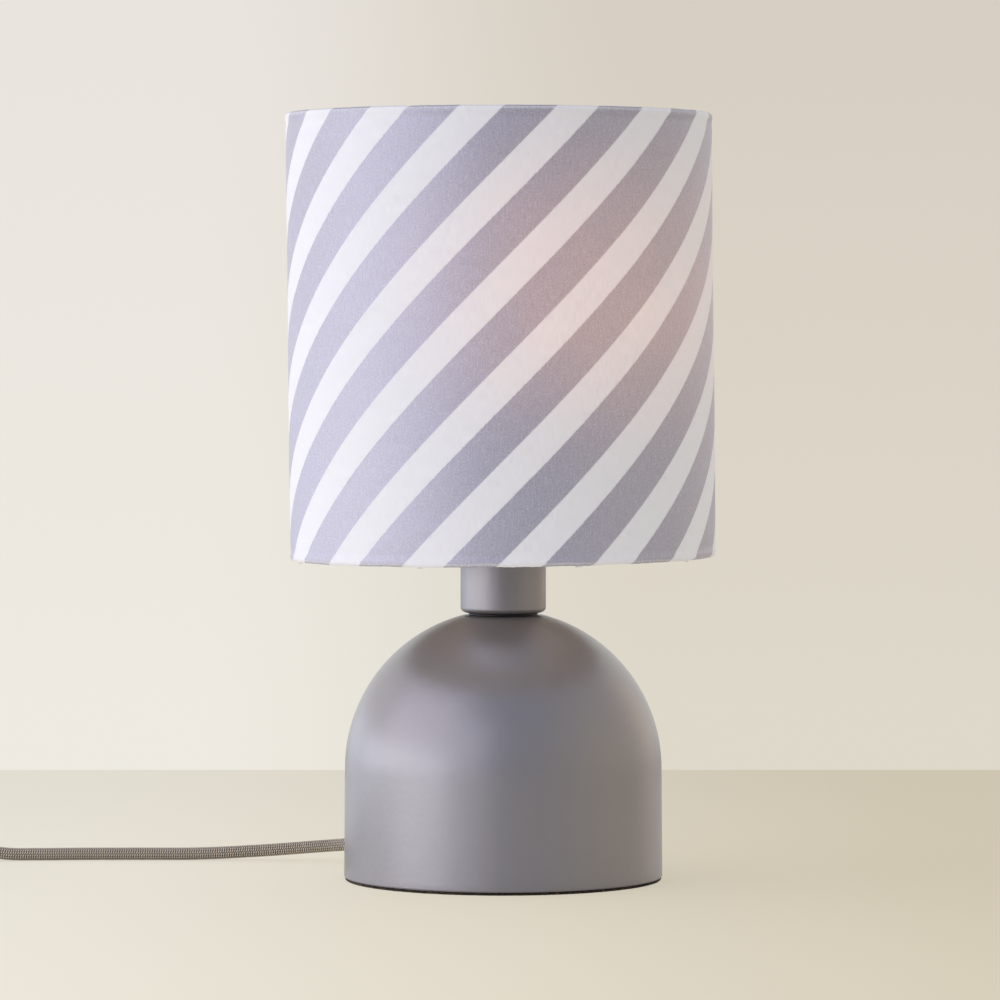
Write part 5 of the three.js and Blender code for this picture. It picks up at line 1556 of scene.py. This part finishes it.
# The camera sees a pale wall, brighter to the left; the object is lit by a room that is pale
# behind it and to the left, and darker behind the camera and below the table.
def room():
    look = {
        "leftTop": "#e9e4de", "leftLow": "#eeeae1", "rightTop": "#d6cec2", "rightLow": "#ded8ca",
        "light": 1.1,
        "walls": [
            ("Y", -1, "#8d939f"), ("Y", 1, "#fafcf8"), ("X", -1, "#ded7d7"), ("X", 1, "#c6bcad"),
            ("Z", 1, "#8e95ac"),
        ],
    }
    world = bpy.data.worlds.new("room")
    world.use_nodes = True
    bpy.context.scene.world = world
    tree = world.node_tree
    tree.nodes.clear()
    part = addNode(tree, "SeparateXYZ", {0: addNode(tree, "TexCoord", {})})
    across = addNode(
        tree,
        "MapRange",
        {"Value": part.outputs["X"], "From Min": -0.06, "From Max": 0.03},
        interpolation_type="SMOOTHSTEP",
    )
    down = addNode(
        tree, "MapRange", {"Value": part.outputs["Z"], "From Min": 0.063, "From Max": -0.072}
    )
    left = addNode(
        tree, "Mix", {0: down, 6: linear(look["leftTop"]), 7: linear(look["leftLow"])},
        data_type="RGBA",
    )
    right = addNode(
        tree, "Mix", {0: down, 6: linear(look["rightTop"]), 7: linear(look["rightLow"])},
        data_type="RGBA",
    )
    seen = addNode(tree, "Mix", {0: across, 6: left, 7: right}, data_type="RGBA")
    light = linear("#000000")
    for axis, way, colour in look["walls"]:
        toward = addNode(
            tree, "Math", {0: part.outputs[axis], 1: way}, operation="MULTIPLY", use_clamp=True
        )
        share = addNode(tree, "Math", {0: toward, 1: 2.0}, operation="POWER")
        light = addNode(
            tree, "Mix", {0: share, 6: light, 7: linear(colour)}, data_type="RGBA", blend_type="ADD"
        )
    below = addNode(
        tree, "MapRange",
        {"Value": part.outputs["Z"], "From Min": -0.12, "From Max": 0.0, "To Min": 0.15},
    )
    light = addNode(
        tree, "Mix", {0: 1.0, 6: light, 7: below}, data_type="RGBA", blend_type="MULTIPLY"
    )
    wall = addNode(tree, "Background", {"Color": seen, "Strength": 1.0})
    lit = addNode(tree, "Background", {"Color": light, "Strength": look["light"]})
    ray = addNode(tree, "LightPath", {}).outputs["Is Camera Ray"]
    both = addNode(tree, "MixShader", {0: ray, 1: lit, 2: wall})
    addNode(tree, "OutputWorld", {"Surface": both})


tableTop()
softbox(
    "window_left", turn=-56, rise=14, distance=1.4, aimHeight=0.2, size=(2.6, 1.3),
    brightness=0.62, colour="#ebe8ff",
)
softbox(
    "low_left", turn=-78, rise=1.5, distance=1.0, aimHeight=0.06, size=(1.6, 0.36),
    brightness=0.95, colour="#ecf6ff",
)
softbox(
    "low_behind_left", turn=-125, rise=2, distance=1.0, aimHeight=0.06, size=(0.8, 0.36),
    brightness=0.7, colour="#d1e0ff",
)
softbox(
    "high_behind_left", turn=-112, rise=30, distance=1.2, aimHeight=0.12, size=(1.0, 0.5),
    brightness=0.14, colour="#e6e6ff",
)
softbox(
    "behind_right", turn=130, rise=8, distance=1.2, aimHeight=0.1, size=(0.4, 0.8),
    brightness=0.28, colour="#ffc596",
)
softbox(
    "overhead", turn=-75, rise=62, distance=1.2, aimHeight=0.15, size=(1.2, 1.2),
    brightness=0.42, colour="#f4f0ff",
)
room()
bpy.context.scene.view_settings.view_transform = "Standard"
print("table, room and light made")
